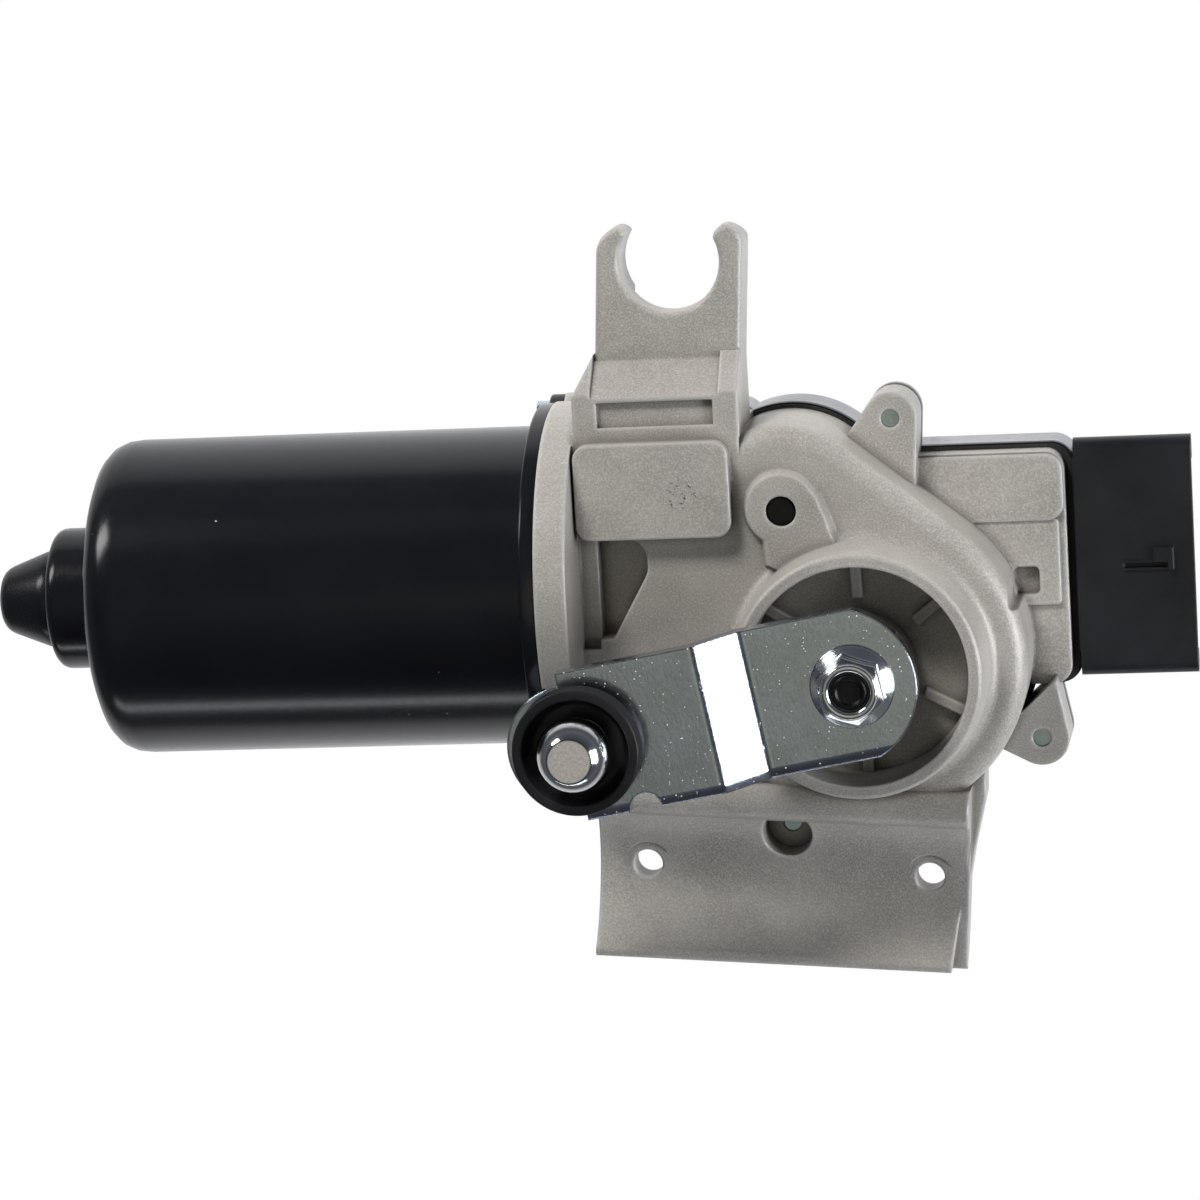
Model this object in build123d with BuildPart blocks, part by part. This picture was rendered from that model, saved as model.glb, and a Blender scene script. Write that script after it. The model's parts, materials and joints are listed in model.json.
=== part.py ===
"""Wiper motor with double reduction gearing, in millimetres.

The output shaft is the Z axis and the crank side is +Z. The motor axis runs along X.
"""

import os
from math import acos, atan, atan2, cos, degrees, hypot, pi, radians, sin, sqrt, tan

from build123d import *

# Heights of the housing, front side up
RIM_Z = 13.0
BOSS_Z = 2.5
PAD_Z = 3.5
DECK_Z = 0.0
FLOOR_Z = -3.0
INNER_Z = -6.4
EAR_Z = -15.0
SIDE_Z = -20.6
MATE_Z = -26.0

# Back stack behind the housing
GASKET_T = 0.8
FRAME_T = 1.8
FLANGE_T = 1.8
COVER_BACK_Z = -42.0
COVER_WALL = 1.6
FRAME_GROW = 1.1
FRAME_SIDE = 0.9

# Motor axis and can
MOTOR_Y = 15.7
MOTOR_Z = -21.0
CAN_R = 34.7
CAN_WALL = 2.0
CAN_END_X = -168.0
CAN_CORNER = 8.0
BOSS_R = 15.2
BOSS_END_X = CAN_END_X - 11.5
CAP_TIP_X = -193.6
SEAM_X = -66.8
LIP_T = 3.4
COLLAR_R = 39.8
COLLAR_END_X = -60.0
CAN_SCREW_R = 38.2
CAN_SCREW_DEG = 25.0
LOBE_R = 5.0
BACK_CHORD_Z = MOTOR_Z - CAN_R

# Gear train: two start worm, idler wheel with pinion, output gear
WORM_MODULE = 0.9
WORM_STARTS = 2
WORM_PITCH_R = 4.05
WORM_LEAD = pi * WORM_MODULE * WORM_STARTS
WHEEL_TEETH = 32
WHEEL_PITCH_R = WORM_MODULE * WHEEL_TEETH / 2
WHEEL_FACE = 9.0
WHEEL_TWIST = WORM_LEAD / (2 * pi * WORM_PITCH_R) / WHEEL_PITCH_R
PINION_TEETH = 15
OUTPUT_TEETH = 60
SPUR_MODULE = 1.0
OUTPUT_ADDENDUM = 0.8
OUTPUT_DEDENDUM = 1.25
OUTPUT_TOOTH_W = (1.95, 0.55)
CENTRE_DISTANCE = SPUR_MODULE * (PINION_TEETH + OUTPUT_TEETH) / 2
IDLER_Y = MOTOR_Y + WORM_PITCH_R + WHEEL_PITCH_R
IDLER_X = -sqrt(CENTRE_DISTANCE**2 - IDLER_Y**2)
IDLER = (IDLER_X, IDLER_Y)
GEAR_Z = (-14.5, -8.5)
PINION_Z = (-15.4, -7.4)
BACKLASH = 0.16
WORM_SPAN = (-32.0, -1.0)
THREAD_PITCH_W = WORM_MODULE * pi / 2 - BACKLASH

# Chambers and case outline
CHAMBER_R = 35.0
CHAMBER_BORE_R = 32.0
DOME = (-16.0, 30.6)
DOME_R = 21.3
SHOULDER_R = 4.2
IDLER_BORE_R = 15.9
LEFT_BOX = (-46.0, -24.0, -28.0, 51.9)
SIDE_BOX = (-2.0, 43.0, -9.5, 41.3)
# Screw ears: centre, radius and the two feet on the case, anticlockwise
EARS = (((6.8, 50.5), 5.7, ((11.3, 32.0), (-3.6, 45.8))),
        ((36.2, -20.2), 6.0, ((24.8, -21.0), (39.8, -7.5))),
        ((-18.8, -37.7), 5.5, ((-24.0, -27.0), (-11.5, -31.5))))
HIDDEN_SCREWS = ((-40.5, 46.2), (-40.5, -22.4))
COVER_SCREWS = tuple(e[0] for e in EARS) + HIDDEN_SCREWS

# Output ring and shaft
RING_R = 26.4
RING_BORE_R = 23.6
RING_DRAFT = 0.9
RING_FOOT_R = 2.2
HUB_R = 11.0
HUB_TOP_Z = 8.5
SHAFT_R = 6.0
RUN_FIT = 0.03
BUSHING_R = 8.5
GEAR_HUB_R = 9.5
CLIP_Z = 9.7
TAPER_Z = (14.8, 21.1)
TAPER_R = 5.0
THREAD_R = 4.0
THREAD_END_Z = 27.9

# Crank
CRANK_DEG = 189.7
CRANK_LENGTH = 57.8
CRANK_WIDTH = 32.0
CRANK_T = 4.0
CRANK_LOW_Z = 17.3
CRANK_HIGH_Z = 24.5
CRANK_BEND = (20.8, 30.2)
CRANK_END_S = 3.7
CRANK_END_R = 17.2
CRANK_CORNER_S = 59.8
CRANK_TIP_S = 60.3
CRANK_TIP_R = 13.2
NOTCH_S = 47.2
NOTCH_R = 3.5
NUT_HEIGHT = 7.0
BALL_R = 8.0
BALL_XY = (CRANK_LENGTH * cos(radians(CRANK_DEG)), CRANK_LENGTH * sin(radians(CRANK_DEG)))
BALL_Z = 37.5
BALL_TOP_Z = 44.0

# Fork and bracket
FORK_C = (-38.1, 86.9)
FORK_R = 10.8
FORK_DEG = -4.0
FORK_SIDES = (-15.6, 15.75)
FORK_Z = (-19.0, -8.0)
FORK_WEB = 6.3
BRACKET_DEG = -4.0
BRACKET_ORIGIN = (-18.9, -27.7)
BRACKET_U = (-40.3, 40.3)
BRACKET_V = 38.8
BRACKET_HOLES = (-29.8, 31.7)
BRACKET_HOLE_V = 18.7
BRACKET_HOLE_R = 3.15
SPOT_Z = -7.0

# Connector: front plate and the plug socket shell behind it
PLATE = (44.9, 70.0, -8.5, 43.3)
PLATE_Z = (-28.0, -22.0)
SHELL = (45.3, 67.8, -6.5, 40.4)
SHELL_Z = (-42.0, -27.0)
CONN_WALL = 2.5
FRAME_EDGE_X = SIDE_BOX[1] + FRAME_GROW + FRAME_SIDE
SOCKET_X = 50.0
TERMINAL_Y = (2.0, 10.0, 18.0, 26.0, 34.0)
TERMINAL_Z = (-32.0, -31.2)
NECK_Y = (-3.0, 39.0)
NECK_Z0 = -37.0

# Control board and its leads
BOARD_Z = (-33.6, -32.0)
BOARD = (-12.0, 40.0, -5.5, 38.0)
BOARD_SCREWS = ((8.0, -2.6), (-8.5, 20.0), (36.5, -2.0), (37.0, 30.0))
LEAD_Y = (3.4, -0.6)
LEAD_Z = -23.6
LEAD_R = 0.9
CARD_X = (-65.0, -62.5)

# Armature and brush gear
CORE_X = (-141.0, -93.0)
CORE_R = 25.2
SLOTS = 12
SLOT_R = 19.6
COMMUTATOR_R = 11.4
COMMUTATOR_X = (-83.0, -69.0)
BRUSH_DEG = (90.0, 210.0, 330.0)
BRUSH_X = (-79.0, -71.0)
BEARING_X = (-56.0, -50.0)
TAIL_X = (20.4, 25.4)


def disc(center, radius, z0, z1, mode=Mode.ADD, taper=0.0):
    """Round slab between two heights."""
    with BuildSketch(Plane.XY.offset(z0)) as s:
        with Locations(center):
            Circle(radius)
    extrude(s.sketch, amount=z1 - z0, taper=taper, mode=mode)


def block(x0, x1, y0, y1, z0, z1, mode=Mode.ADD, radius=0.0):
    """Upright block with optional rounded corners."""
    with BuildSketch(Plane.XY.offset(z0)) as s:
        with Locations(((x0 + x1) / 2, (y0 + y1) / 2)):
            if radius:
                RectangleRounded(x1 - x0, y1 - y0, radius)
            else:
                Rectangle(x1 - x0, y1 - y0)
    extrude(s.sketch, amount=z1 - z0, mode=mode)


def slab(sketch, z0, z1, mode=Mode.ADD):
    """Extrude a flat outline drawn at height zero."""
    extrude(sketch.moved(Location((0, 0, z0))), amount=z1 - z0, mode=mode)


def rod(radius, x0, x1, y=MOTOR_Y, z=MOTOR_Z, mode=Mode.ADD):
    """Round bar along X, on the motor axis unless told otherwise."""
    with BuildSketch(Plane.YZ.offset(x0)) as s:
        with Locations((y, z)):
            Circle(radius)
    extrude(s.sketch, amount=x1 - x0, mode=mode)


def tube(r_out, r_in, x0, x1):
    """Ring along the motor axis."""
    rod(r_out, x0, x1)
    rod(r_in, x0, x1, mode=Mode.SUBTRACT)


def polygon(points):
    """Closed flat outline through points."""
    with BuildSketch() as s:
        with BuildLine():
            Polyline(*points, close=True)
        make_face()
    return s.sketch


def tangent_point(center, radius, foot, side):
    """Point where a line from a foot touches a circle, on one of its two sides."""
    dx, dy = foot[0] - center[0], foot[1] - center[1]
    angle = atan2(dy, dx) + side * acos(radius / hypot(dx, dy))
    return (center[0] + radius * cos(angle), center[1] + radius * sin(angle))


def ear_outline(ear):
    """Round screw ear whose sides run straight to its two feet on the case."""
    center, radius, (first, last) = ear
    with BuildSketch() as s:
        with Locations(center):
            Circle(radius)
        add(polygon([first, tangent_point(center, radius, first, 1), center,
                     tangent_point(center, radius, last, -1), last]))
    return s.sketch


def core_outline(grow=0.0):
    """Round chamber and idler dome joined by their two common tangents."""
    big, small = CHAMBER_R + grow, DOME_R + grow
    lean = acos((big - small) / hypot(*DOME))
    heading = atan2(DOME[1], DOME[0])
    normals = [(cos(heading + side * lean), sin(heading + side * lean)) for side in (-1, 1)]
    (ax, ay), (bx, by) = normals
    with BuildSketch() as s:
        Circle(big)
        with Locations(DOME):
            Circle(small)
        add(polygon([(big * ax, big * ay), (DOME[0] + small * ax, DOME[1] + small * ay),
                     (DOME[0] + small * bx, DOME[1] + small * by), (big * bx, big * by)]))
    return s.sketch


def case_outline(grow=0.0, ears=True, side=0.0):
    """Outline of the gear case at its back plane, grown sideways."""
    with BuildSketch() as s:
        add(core_outline(grow))
        for (x0, x1, y0, y1), extra in ((LEFT_BOX, 0.0), (SIDE_BOX, side)):
            with Locations(((x0 + x1 + extra) / 2, (y0 + y1) / 2)):
                RectangleRounded(x1 - x0 + extra + 2 * grow, y1 - y0 + 2 * grow, 4.0 + grow)
        if ears:
            for ear in EARS:
                add(ear_outline(ear))
    return s.sketch


def collar_outline(plane, radius, lobe):
    """Motor flange outline with its two screw lobes, cut level at the back."""
    with BuildSketch(plane) as s:
        with Locations((MOTOR_Y, MOTOR_Z)):
            Circle(radius)
        for side in (1, -1):
            a = radians(CAN_SCREW_DEG)
            with Locations((MOTOR_Y + side * CAN_SCREW_R * cos(a), MOTOR_Z - CAN_SCREW_R * sin(a))):
                Circle(lobe)
        with Locations((MOTOR_Y, BACK_CHORD_Z - 10)):
            Rectangle(2 * radius, 20, mode=Mode.SUBTRACT)
    return s.sketch


def can_screw_points():
    """Screw centres of the motor flange in the YZ plane."""
    a = radians(CAN_SCREW_DEG)
    return [(MOTOR_Y + side * CAN_SCREW_R * cos(a), MOTOR_Z - CAN_SCREW_R * sin(a)) for side in (1, -1)]


def gear_points(teeth, r_root, r_tip, w_root, w_tip, turn=0.0):
    """Straight sided tooth outline; widths are arc lengths at root and tip."""
    points = []
    for i in range(teeth):
        a = turn + 2 * pi * i / teeth
        for r, w in ((r_root, -w_root), (r_tip, -w_tip), (r_tip, w_tip), (r_root, w_root)):
            points.append((r * cos(a + w / r / 2), r * sin(a + w / r / 2)))
    return points


def on_bracket(u, v):
    """Point of the bracket plate, u along it and v down from its rib."""
    a = radians(BRACKET_DEG)
    return (BRACKET_ORIGIN[0] + u * cos(a) + v * sin(a), BRACKET_ORIGIN[1] + u * sin(a) - v * cos(a))


def build_case_core():
    """Round chamber and idler dome with their rounded front shoulders."""
    with BuildPart() as core:
        slab(core_outline(), MATE_Z, DECK_Z)
        fillet(core.faces().sort_by(Axis.Z)[-1].edges(), radius=SHOULDER_R)
    return core.part


def add_case():
    """Gear case walls, deck, side box and screw ears."""
    slab(case_outline(ears=False), MATE_Z, SIDE_Z)
    add(build_case_core())
    block(COLLAR_END_X, LEFT_BOX[1], LEFT_BOX[2], LEFT_BOX[3], MATE_Z, DECK_Z)
    for ear in EARS:
        slab(ear_outline(ear), MATE_Z, EAR_Z)


def add_ring():
    """Drafted ring around the output hub with a rounded foot."""
    foot = RING_R + RING_DRAFT + RING_FOOT_R
    with BuildPart() as ring:
        with BuildSketch(Plane.XZ) as s:
            with BuildLine():
                Polyline((0, DECK_Z - 2), (foot, DECK_Z - 2), (foot, DECK_Z))
                ThreePointArc((foot, DECK_Z), (foot - 0.7 * RING_FOOT_R, DECK_Z + 0.3 * RING_FOOT_R),
                              (RING_R + RING_DRAFT, DECK_Z + RING_FOOT_R))
                Polyline((RING_R + RING_DRAFT, DECK_Z + RING_FOOT_R), (RING_R, RIM_Z - 0.6),
                         (RING_R - 0.6, RIM_Z), (0, RIM_Z), (0, DECK_Z - 2))
            make_face()
        revolve(s.sketch, axis=Axis.Z)
    add(ring.part)


def add_idler_boss():
    """Drafted boss over the idler pin with its neck to the ring."""
    draft = 1.2
    with BuildPart() as boss:
        with BuildSketch(Plane.XY.offset(DECK_Z - 0.5)) as s:
            with Locations((IDLER_X, IDLER_Y + 0.4)):
                Circle(7.5 + draft)
            add(polygon([(-24.0, 34.0), (-20.6, 28.2), (-20.0, 22.0), (-8.0, 15.0), (0.0, 20.0), (-4.0, 29.0),
                         (-5.2, 33.0), (-7.2, 38.0)]))
            bends = s.vertices().filter_by(lambda v: hypot(v.X + 20.6, v.Y - 28.2) < 0.3
                                           or hypot(v.X + 5.2, v.Y - 33.0) < 0.3)
            fillet(bends, radius=2.5)
        extrude(s.sketch, amount=BOSS_Z - DECK_Z + 0.5, taper=degrees(atan(draft / (BOSS_Z - DECK_Z + 0.5))))
    add(boss.part)


def build_gear_housing():
    """Die cast gear housing with output ring, fork, bracket and motor collar."""
    with BuildPart() as housing:
        add_case()
        # Side box steps
        block(2.0, SIDE_BOX[1] - 0.4, 26.5, SIDE_BOX[3] - 0.4, SIDE_Z, SIDE_Z + 1.2, radius=3.6)
        block(20.0, 41.4, 8.0, 26.8, SIDE_Z, SIDE_Z + 0.8, radius=1.0)
        add_ring()
        add_idler_boss()
        # Raised pad
        block(-59.4, -26.2, 29.2, 49.8, DECK_Z - 1, PAD_Z, radius=3.2)
        # Motor collar
        extrude(collar_outline(Plane.YZ.offset(SEAM_X), COLLAR_R, LOBE_R), amount=COLLAR_END_X - SEAM_X)
        for y, z in can_screw_points():
            rod(LOBE_R, COLLAR_END_X, COLLAR_END_X + 5.0, y, z)
        block(COLLAR_END_X, -47.4, MOTOR_Y - 15.0, MOTOR_Y + 15.0, MOTOR_Z - 14.0, MOTOR_Z, radius=0)
        for y in (MOTOR_Y - 24.0, MOTOR_Y + 24.0):
            with BuildSketch(Plane.XZ.offset(-y - 1.6)) as gusset:
                with BuildLine():
                    Polyline((COLLAR_END_X, MOTOR_Z - 30), (COLLAR_END_X, MATE_Z), (-48.0, MATE_Z), close=True)
                make_face()
            extrude(gusset.sketch, amount=3.2)
        add_fork()
        add_bracket()
        cut_inside()
        add_inside()
        cut_bores()
    return housing.part


def build_fork_plate():
    """C shaped fork with round finger tips and a web thinned from behind."""
    left, right = FORK_SIDES
    with BuildPart() as fork:
        with BuildSketch(Plane.XY.offset(FORK_Z[0])) as s:
            with BuildLine():
                Polyline((left, 1.5), (left, -26.0), (right, -26.0), (right, 3.6))
                ThreePointArc((right, 3.6), (right - 0.8, 6.6), (12.6, 8.3))
                ThreePointArc((12.6, 8.3), (10.4, 7.5), (9.4, 5.3))
                ThreePointArc((9.4, 5.3), (0, -FORK_R), (-9.4, 5.3))
                ThreePointArc((-9.4, 5.3), (-9.9, 6.4), (-11.2, 6.9))
                ThreePointArc((-11.2, 6.9), (-14.2, 5.0), (left, 1.5))
            make_face()
        extrude(s.sketch, amount=FORK_Z[1] - FORK_Z[0])
        fillet(fork.faces().sort_by(Axis.Z)[-1].edges().filter_by(lambda e: e.center().Y > -25.0), radius=1.1)
        block(-8.6, 8.6, -24.0, -6.0, FORK_Z[0], FORK_Z[1] - FORK_WEB, mode=Mode.SUBTRACT)
        with BuildSketch(Plane.YZ.offset(left - 1)) as slope:
            with BuildLine():
                Polyline((5.0, FORK_Z[0] - 1), (9.5, FORK_Z[0] - 1), (9.5, FORK_Z[1] - 3.0), close=True)
            make_face()
        extrude(slope.sketch, amount=right - left + 2, mode=Mode.SUBTRACT)
    turned = fork.part.rotate(Axis.Z, FORK_DEG)
    return turned.moved(Location((FORK_C[0], FORK_C[1], 0)))


def add_fork():
    """Fork with its ramp, side ribs and the shallow bar recess."""
    add(build_fork_plate())
    # Ramp up to the deck between two side ribs
    with BuildSketch(Plane.YZ.offset(-57.0)) as ramp:
        with BuildLine():
            Polyline((50.0, FORK_Z[0]), (50.0, DECK_Z), (59.2, DECK_Z), (66.2, FORK_Z[1]), (66.2, FORK_Z[0]),
                     close=True)
        make_face()
    extrude(ramp.sketch, amount=31.0)
    with BuildPart() as ribs:
        for x0, x1 in ((-59.4, -55.4), (-27.9, -23.8)):
            with BuildSketch(Plane.YZ.offset(x0)) as rib:
                with BuildLine():
                    Polyline((50.0, FORK_Z[0]), (50.0, DECK_Z), (60.0, DECK_Z), (67.6, FORK_Z[1] + 0.2),
                             (67.6, FORK_Z[0]), close=True)
                make_face()
            extrude(rib.sketch, amount=x1 - x0)
    add(ribs.part)
    # Trim the left rib back to the plan of the fork
    corner = polygon([(-66.0, 59.6), (-59.4, 59.6), (-55.0, 68.4), (-55.0, 72.0), (-66.0, 72.0)])
    slab(corner, FORK_Z[0] - 1, DECK_Z + 1, mode=Mode.SUBTRACT)
    block(-54.2, -29.2, 52.9, 58.3, DECK_Z - 1.2, DECK_Z + 2, mode=Mode.SUBTRACT)


def bracket_profile(points, depth):
    """Bracket section drawn in v and z, carried along u."""
    a = radians(BRACKET_DEG)
    plane = Plane(origin=(*on_bracket(BRACKET_U[1], 0), 0), x_dir=(sin(a), -cos(a), 0), z_dir=(-cos(a), -sin(a), 0))
    with BuildSketch(plane) as s:
        with BuildLine():
            for kind, pts in points:
                if kind == "line":
                    Polyline(*pts)
                else:
                    ThreePointArc(*pts)
        make_face()
    extrude(s.sketch, amount=depth)


def add_bracket():
    """Saddle shaped mounting plate with rounded rib and lip."""
    length = BRACKET_U[1] - BRACKET_U[0]
    bracket_profile((("arc", ((4.0, -0.6), (20.5, SPOT_Z - 0.4), (36.0, -2.4))),
                     ("arc", ((36.0, -2.4), (37.6, -1.7), (38.8, -3.0))),
                     ("line", ((38.8, -3.0), (38.8, -8.0))),
                     ("arc", ((38.8, -8.0), (20.5, SPOT_Z - 6.4), (4.0, -7.4))),
                     ("line", ((4.0, -7.4), (4.0, -0.6)))), length)
    # Well over the third cover screw
    disc(COVER_SCREWS[2], 7.2, EAR_Z, -7.5)
    disc(COVER_SCREWS[2], 5.4, EAR_Z, RIM_Z, mode=Mode.SUBTRACT)
    bracket_profile((("line", ((-2.0, -12.0), (-2.0, -0.4))),
                     ("arc", ((-2.0, -0.4), (2.6, 3.0), (6.2, -1.0))),
                     ("line", ((6.2, -1.0), (6.2, -12.0), (-2.0, -12.0)))), length)
    # Gusset wall from the round chamber down the right hand end
    web = polygon([(12.0, -28.0), (24.3, -25.4), (24.1, -31.5), (21.1, -43.5), (16.2, -67.4), (13.4, -66.8),
                   (17.8, -43.8), (20.0, -34.0), (12.0, -33.0)])
    slab(web, DECK_Z - 17.0, DECK_Z - 8.0)
    # Tapered right hand edge
    wedge = polygon([on_bracket(BRACKET_U[1] + 0.2, 8.0), on_bracket(BRACKET_U[1] + 6, 8.0),
                     on_bracket(BRACKET_U[1] + 6, 44.0), on_bracket(BRACKET_U[1] - 3.8, 44.0)])
    slab(wedge, SPOT_Z, RIM_Z, mode=Mode.SUBTRACT)
    for u in BRACKET_HOLES:
        centre = on_bracket(u, BRACKET_HOLE_V)
        disc(centre, 6.2, SPOT_Z - 6.8, SPOT_Z - 2.0)
        disc(centre, 5.0, SPOT_Z, DECK_Z, mode=Mode.SUBTRACT)
        disc(centre, BRACKET_HOLE_R, SPOT_Z - 8, DECK_Z, mode=Mode.SUBTRACT)


def cut_inside():
    """Hollow chambers, pockets and recesses."""
    disc((0, 0), CHAMBER_BORE_R, MATE_Z, INNER_Z, mode=Mode.SUBTRACT)
    disc(IDLER, IDLER_BORE_R, MATE_Z, INNER_Z, mode=Mode.SUBTRACT)
    block(-43.0, -20.0, -24.6, 12.0, MATE_Z, -4.0, mode=Mode.SUBTRACT, radius=3.0)
    block(-43.0, -31.0, 20.0, 48.8, MATE_Z, -4.0, mode=Mode.SUBTRACT, radius=3.0)
    with BuildSketch() as side:
        with Locations(((10.0 + SIDE_BOX[1] - 2.6) / 2, (SIDE_BOX[2] + SIDE_BOX[3]) / 2)):
            RectangleRounded(SIDE_BOX[1] - 12.6, SIDE_BOX[3] - SIDE_BOX[2] - 5.2, 2.5)
        add(core_outline(), mode=Mode.SUBTRACT)
        for ear in EARS[:2]:
            add(ear_outline(ear), mode=Mode.SUBTRACT)
    slab(side.sketch, MATE_Z, -24.0, mode=Mode.SUBTRACT)
    # Recess of the output ring
    disc((0, 0), RING_BORE_R, FLOOR_Z, RIM_Z, mode=Mode.SUBTRACT)
    # Deep pocket beside the collar and the shallow channel next to it
    with BuildSketch() as pocket:
        with BuildLine():
            Polyline((-56.1, 28.8), (-45.0, 28.8), (-45.0, 21.5), (-53.2, 7.2), (-56.1, 7.2), close=True)
        make_face()
        fillet(pocket.vertices().filter_by(lambda v: v.X > -46), radius=4.6)
    slab(pocket.sketch, -7.6, DECK_Z + 1, mode=Mode.SUBTRACT)
    block(COLLAR_END_X, -56.1, 5.0, 28.8, -2.6, DECK_Z + 1, mode=Mode.SUBTRACT)
    block(31.4, 36.9, 10.4, 16.5, SIDE_Z - 1.2, DECK_Z, mode=Mode.SUBTRACT, radius=1.2)


def add_inside():
    """Hub, ribs, bearing tunnel and screw bosses."""
    disc((0, 0), HUB_R, INNER_Z, HUB_TOP_Z)
    for angle in (92, 38, -27, -90, 148, 210):
        with BuildSketch(Plane.XY.offset(FLOOR_Z)) as rib:
            with Locations((19.2 * cos(radians(angle)), 19.2 * sin(radians(angle)))):
                Rectangle(9.6, 2.3, rotation=angle)
        extrude(rib.sketch, amount=2.2)
    # Tunnel around the worm shaft
    with BuildSketch(Plane.YZ.offset(COLLAR_END_X)) as tunnel:
        with Locations((MOTOR_Y, MOTOR_Z)):
            Rectangle(17.0, 17.0)
        with Locations((MOTOR_Y, MATE_Z - 5.0)):
            Rectangle(40.0, 10.0, mode=Mode.SUBTRACT)
    extrude(tunnel.sketch, amount=-COLLAR_END_X - 32.0)
    # Tail bearing block on the chamber wall
    with BuildSketch(Plane.XY.offset(MATE_Z)) as tail:
        with Locations((26.0, MOTOR_Y)):
            Rectangle(12.0, 13.0)
        Circle(CHAMBER_R - 1.0, mode=Mode.INTERSECT)
    extrude(tail.sketch, amount=MOTOR_Z + 5.4 - MATE_Z)
    for x, y in HIDDEN_SCREWS:
        disc((x, y), 4.8, MATE_Z, DECK_Z - 2)
    disc(IDLER, 6.0, INNER_Z, DECK_Z)


def cut_bores():
    """Bores and threaded holes."""
    disc((0, 0), BUSHING_R, INNER_Z - 1, HUB_TOP_Z + 1, mode=Mode.SUBTRACT)
    disc(IDLER, 3.25, INNER_Z - 1, BOSS_Z + 1, mode=Mode.SUBTRACT)
    rod(30.0, SEAM_X - 1, -62.5, mode=Mode.SUBTRACT)
    rod(11.0, -63.0, -50.0, mode=Mode.SUBTRACT)
    rod(6.2, -51.0, -20.0, mode=Mode.SUBTRACT)
    rod(5.0, 19.0, TAIL_X[1], mode=Mode.SUBTRACT)
    rod(3.4, 19.0, TAIL_X[1] + 2.2, mode=Mode.SUBTRACT)
    for y in LEAD_Y:
        rod(1.3, -63.0, -42.0, y, LEAD_Z, mode=Mode.SUBTRACT)
    for x, y in COVER_SCREWS[:3]:
        disc((x, y), 2.0, MATE_Z - 1, EAR_Z + 1, mode=Mode.SUBTRACT)
    for x, y in HIDDEN_SCREWS:
        disc((x, y), 2.0, MATE_Z - 1, EAR_Z, mode=Mode.SUBTRACT)
    for y, z in can_screw_points():
        rod(2.0, SEAM_X - 1, SEAM_X + 10.0, y, z, mode=Mode.SUBTRACT)


def build_housing_gasket():
    """Flat rubber gasket between the housing and the connector frame."""
    with BuildPart() as gasket:
        slab(case_outline(FRAME_GROW - 0.4, side=FRAME_SIDE), MATE_Z - GASKET_T, MATE_Z)
        slab(case_outline(-2.2, ears=False), MATE_Z - GASKET_T, MATE_Z, mode=Mode.SUBTRACT)
        for x, y in COVER_SCREWS:
            disc((x, y), 4.6, MATE_Z - GASKET_T, MATE_Z)
            disc((x, y), 2.1, MATE_Z - GASKET_T, MATE_Z, mode=Mode.SUBTRACT)
    return gasket.part


def build_connector_frame():
    """Moulded frame behind the housing with the plug socket on its right side."""
    z1 = MATE_Z - GASKET_T
    z0 = z1 - FRAME_T
    x0 = PLATE[0]
    front = PLATE_Z[1]
    with BuildPart() as frame:
        slab(case_outline(FRAME_GROW, side=FRAME_SIDE), z0, z1)
        slab(case_outline(-2.2, ears=False), z0, z1, mode=Mode.SUBTRACT)
        for x, y in COVER_SCREWS:
            disc((x, y), 4.6, z0, z1)
        for (left, right, low, high), (back, face), radius in ((PLATE, PLATE_Z, 2.4), (SHELL, SHELL_Z, 2.0)):
            with BuildSketch(Plane.YZ.offset(left)) as box:
                with Locations(((low + high) / 2, (back + face) / 2)):
                    RectangleRounded(high - low, face - back, radius)
            extrude(box.sketch, amount=right - left)
        block(FRAME_EDGE_X - 0.4, x0 + 1, NECK_Y[0], NECK_Y[1], z0, front - 0.6)
        block(x0 - 4.0, x0 + 1, NECK_Y[0], NECK_Y[1], NECK_Z0, z0)
        block(SOCKET_X, PLATE[1], SHELL[2] + CONN_WALL, SHELL[3] - CONN_WALL, SHELL_Z[0] + CONN_WALL,
              front - CONN_WALL, mode=Mode.SUBTRACT)
        # Latch slot between two rails and its stop
        block(54.9, 63.8, 15.1, 16.3, front - 0.8, front, mode=Mode.SUBTRACT)
        for y in (14.7, 16.3):
            block(54.6, 65.4, y, y + 0.4, front - 0.5, front + 0.4)
        block(61.5, 65.5, 16.5, 19.6, front - 0.5, front + 1.0)
        block(64.4, 65.5, 14.5, 19.6, front - 0.5, front + 1.0)
        for y in TERMINAL_Y:
            block(x0 - 5.5, SOCKET_X + 1, y - 1.4, y + 1.4, TERMINAL_Z[0], TERMINAL_Z[1], mode=Mode.SUBTRACT)
        for x, y in COVER_SCREWS:
            disc((x, y), 2.1, z0, z1, mode=Mode.SUBTRACT)
    return frame.part


def build_connector_terminals():
    """Five flat blades from the board into the socket."""
    with BuildPart() as blades:
        for y in TERMINAL_Y:
            block(35.0, 64.0, y - 1.4, y + 1.4, TERMINAL_Z[0], TERMINAL_Z[1])
    return blades.part


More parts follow.
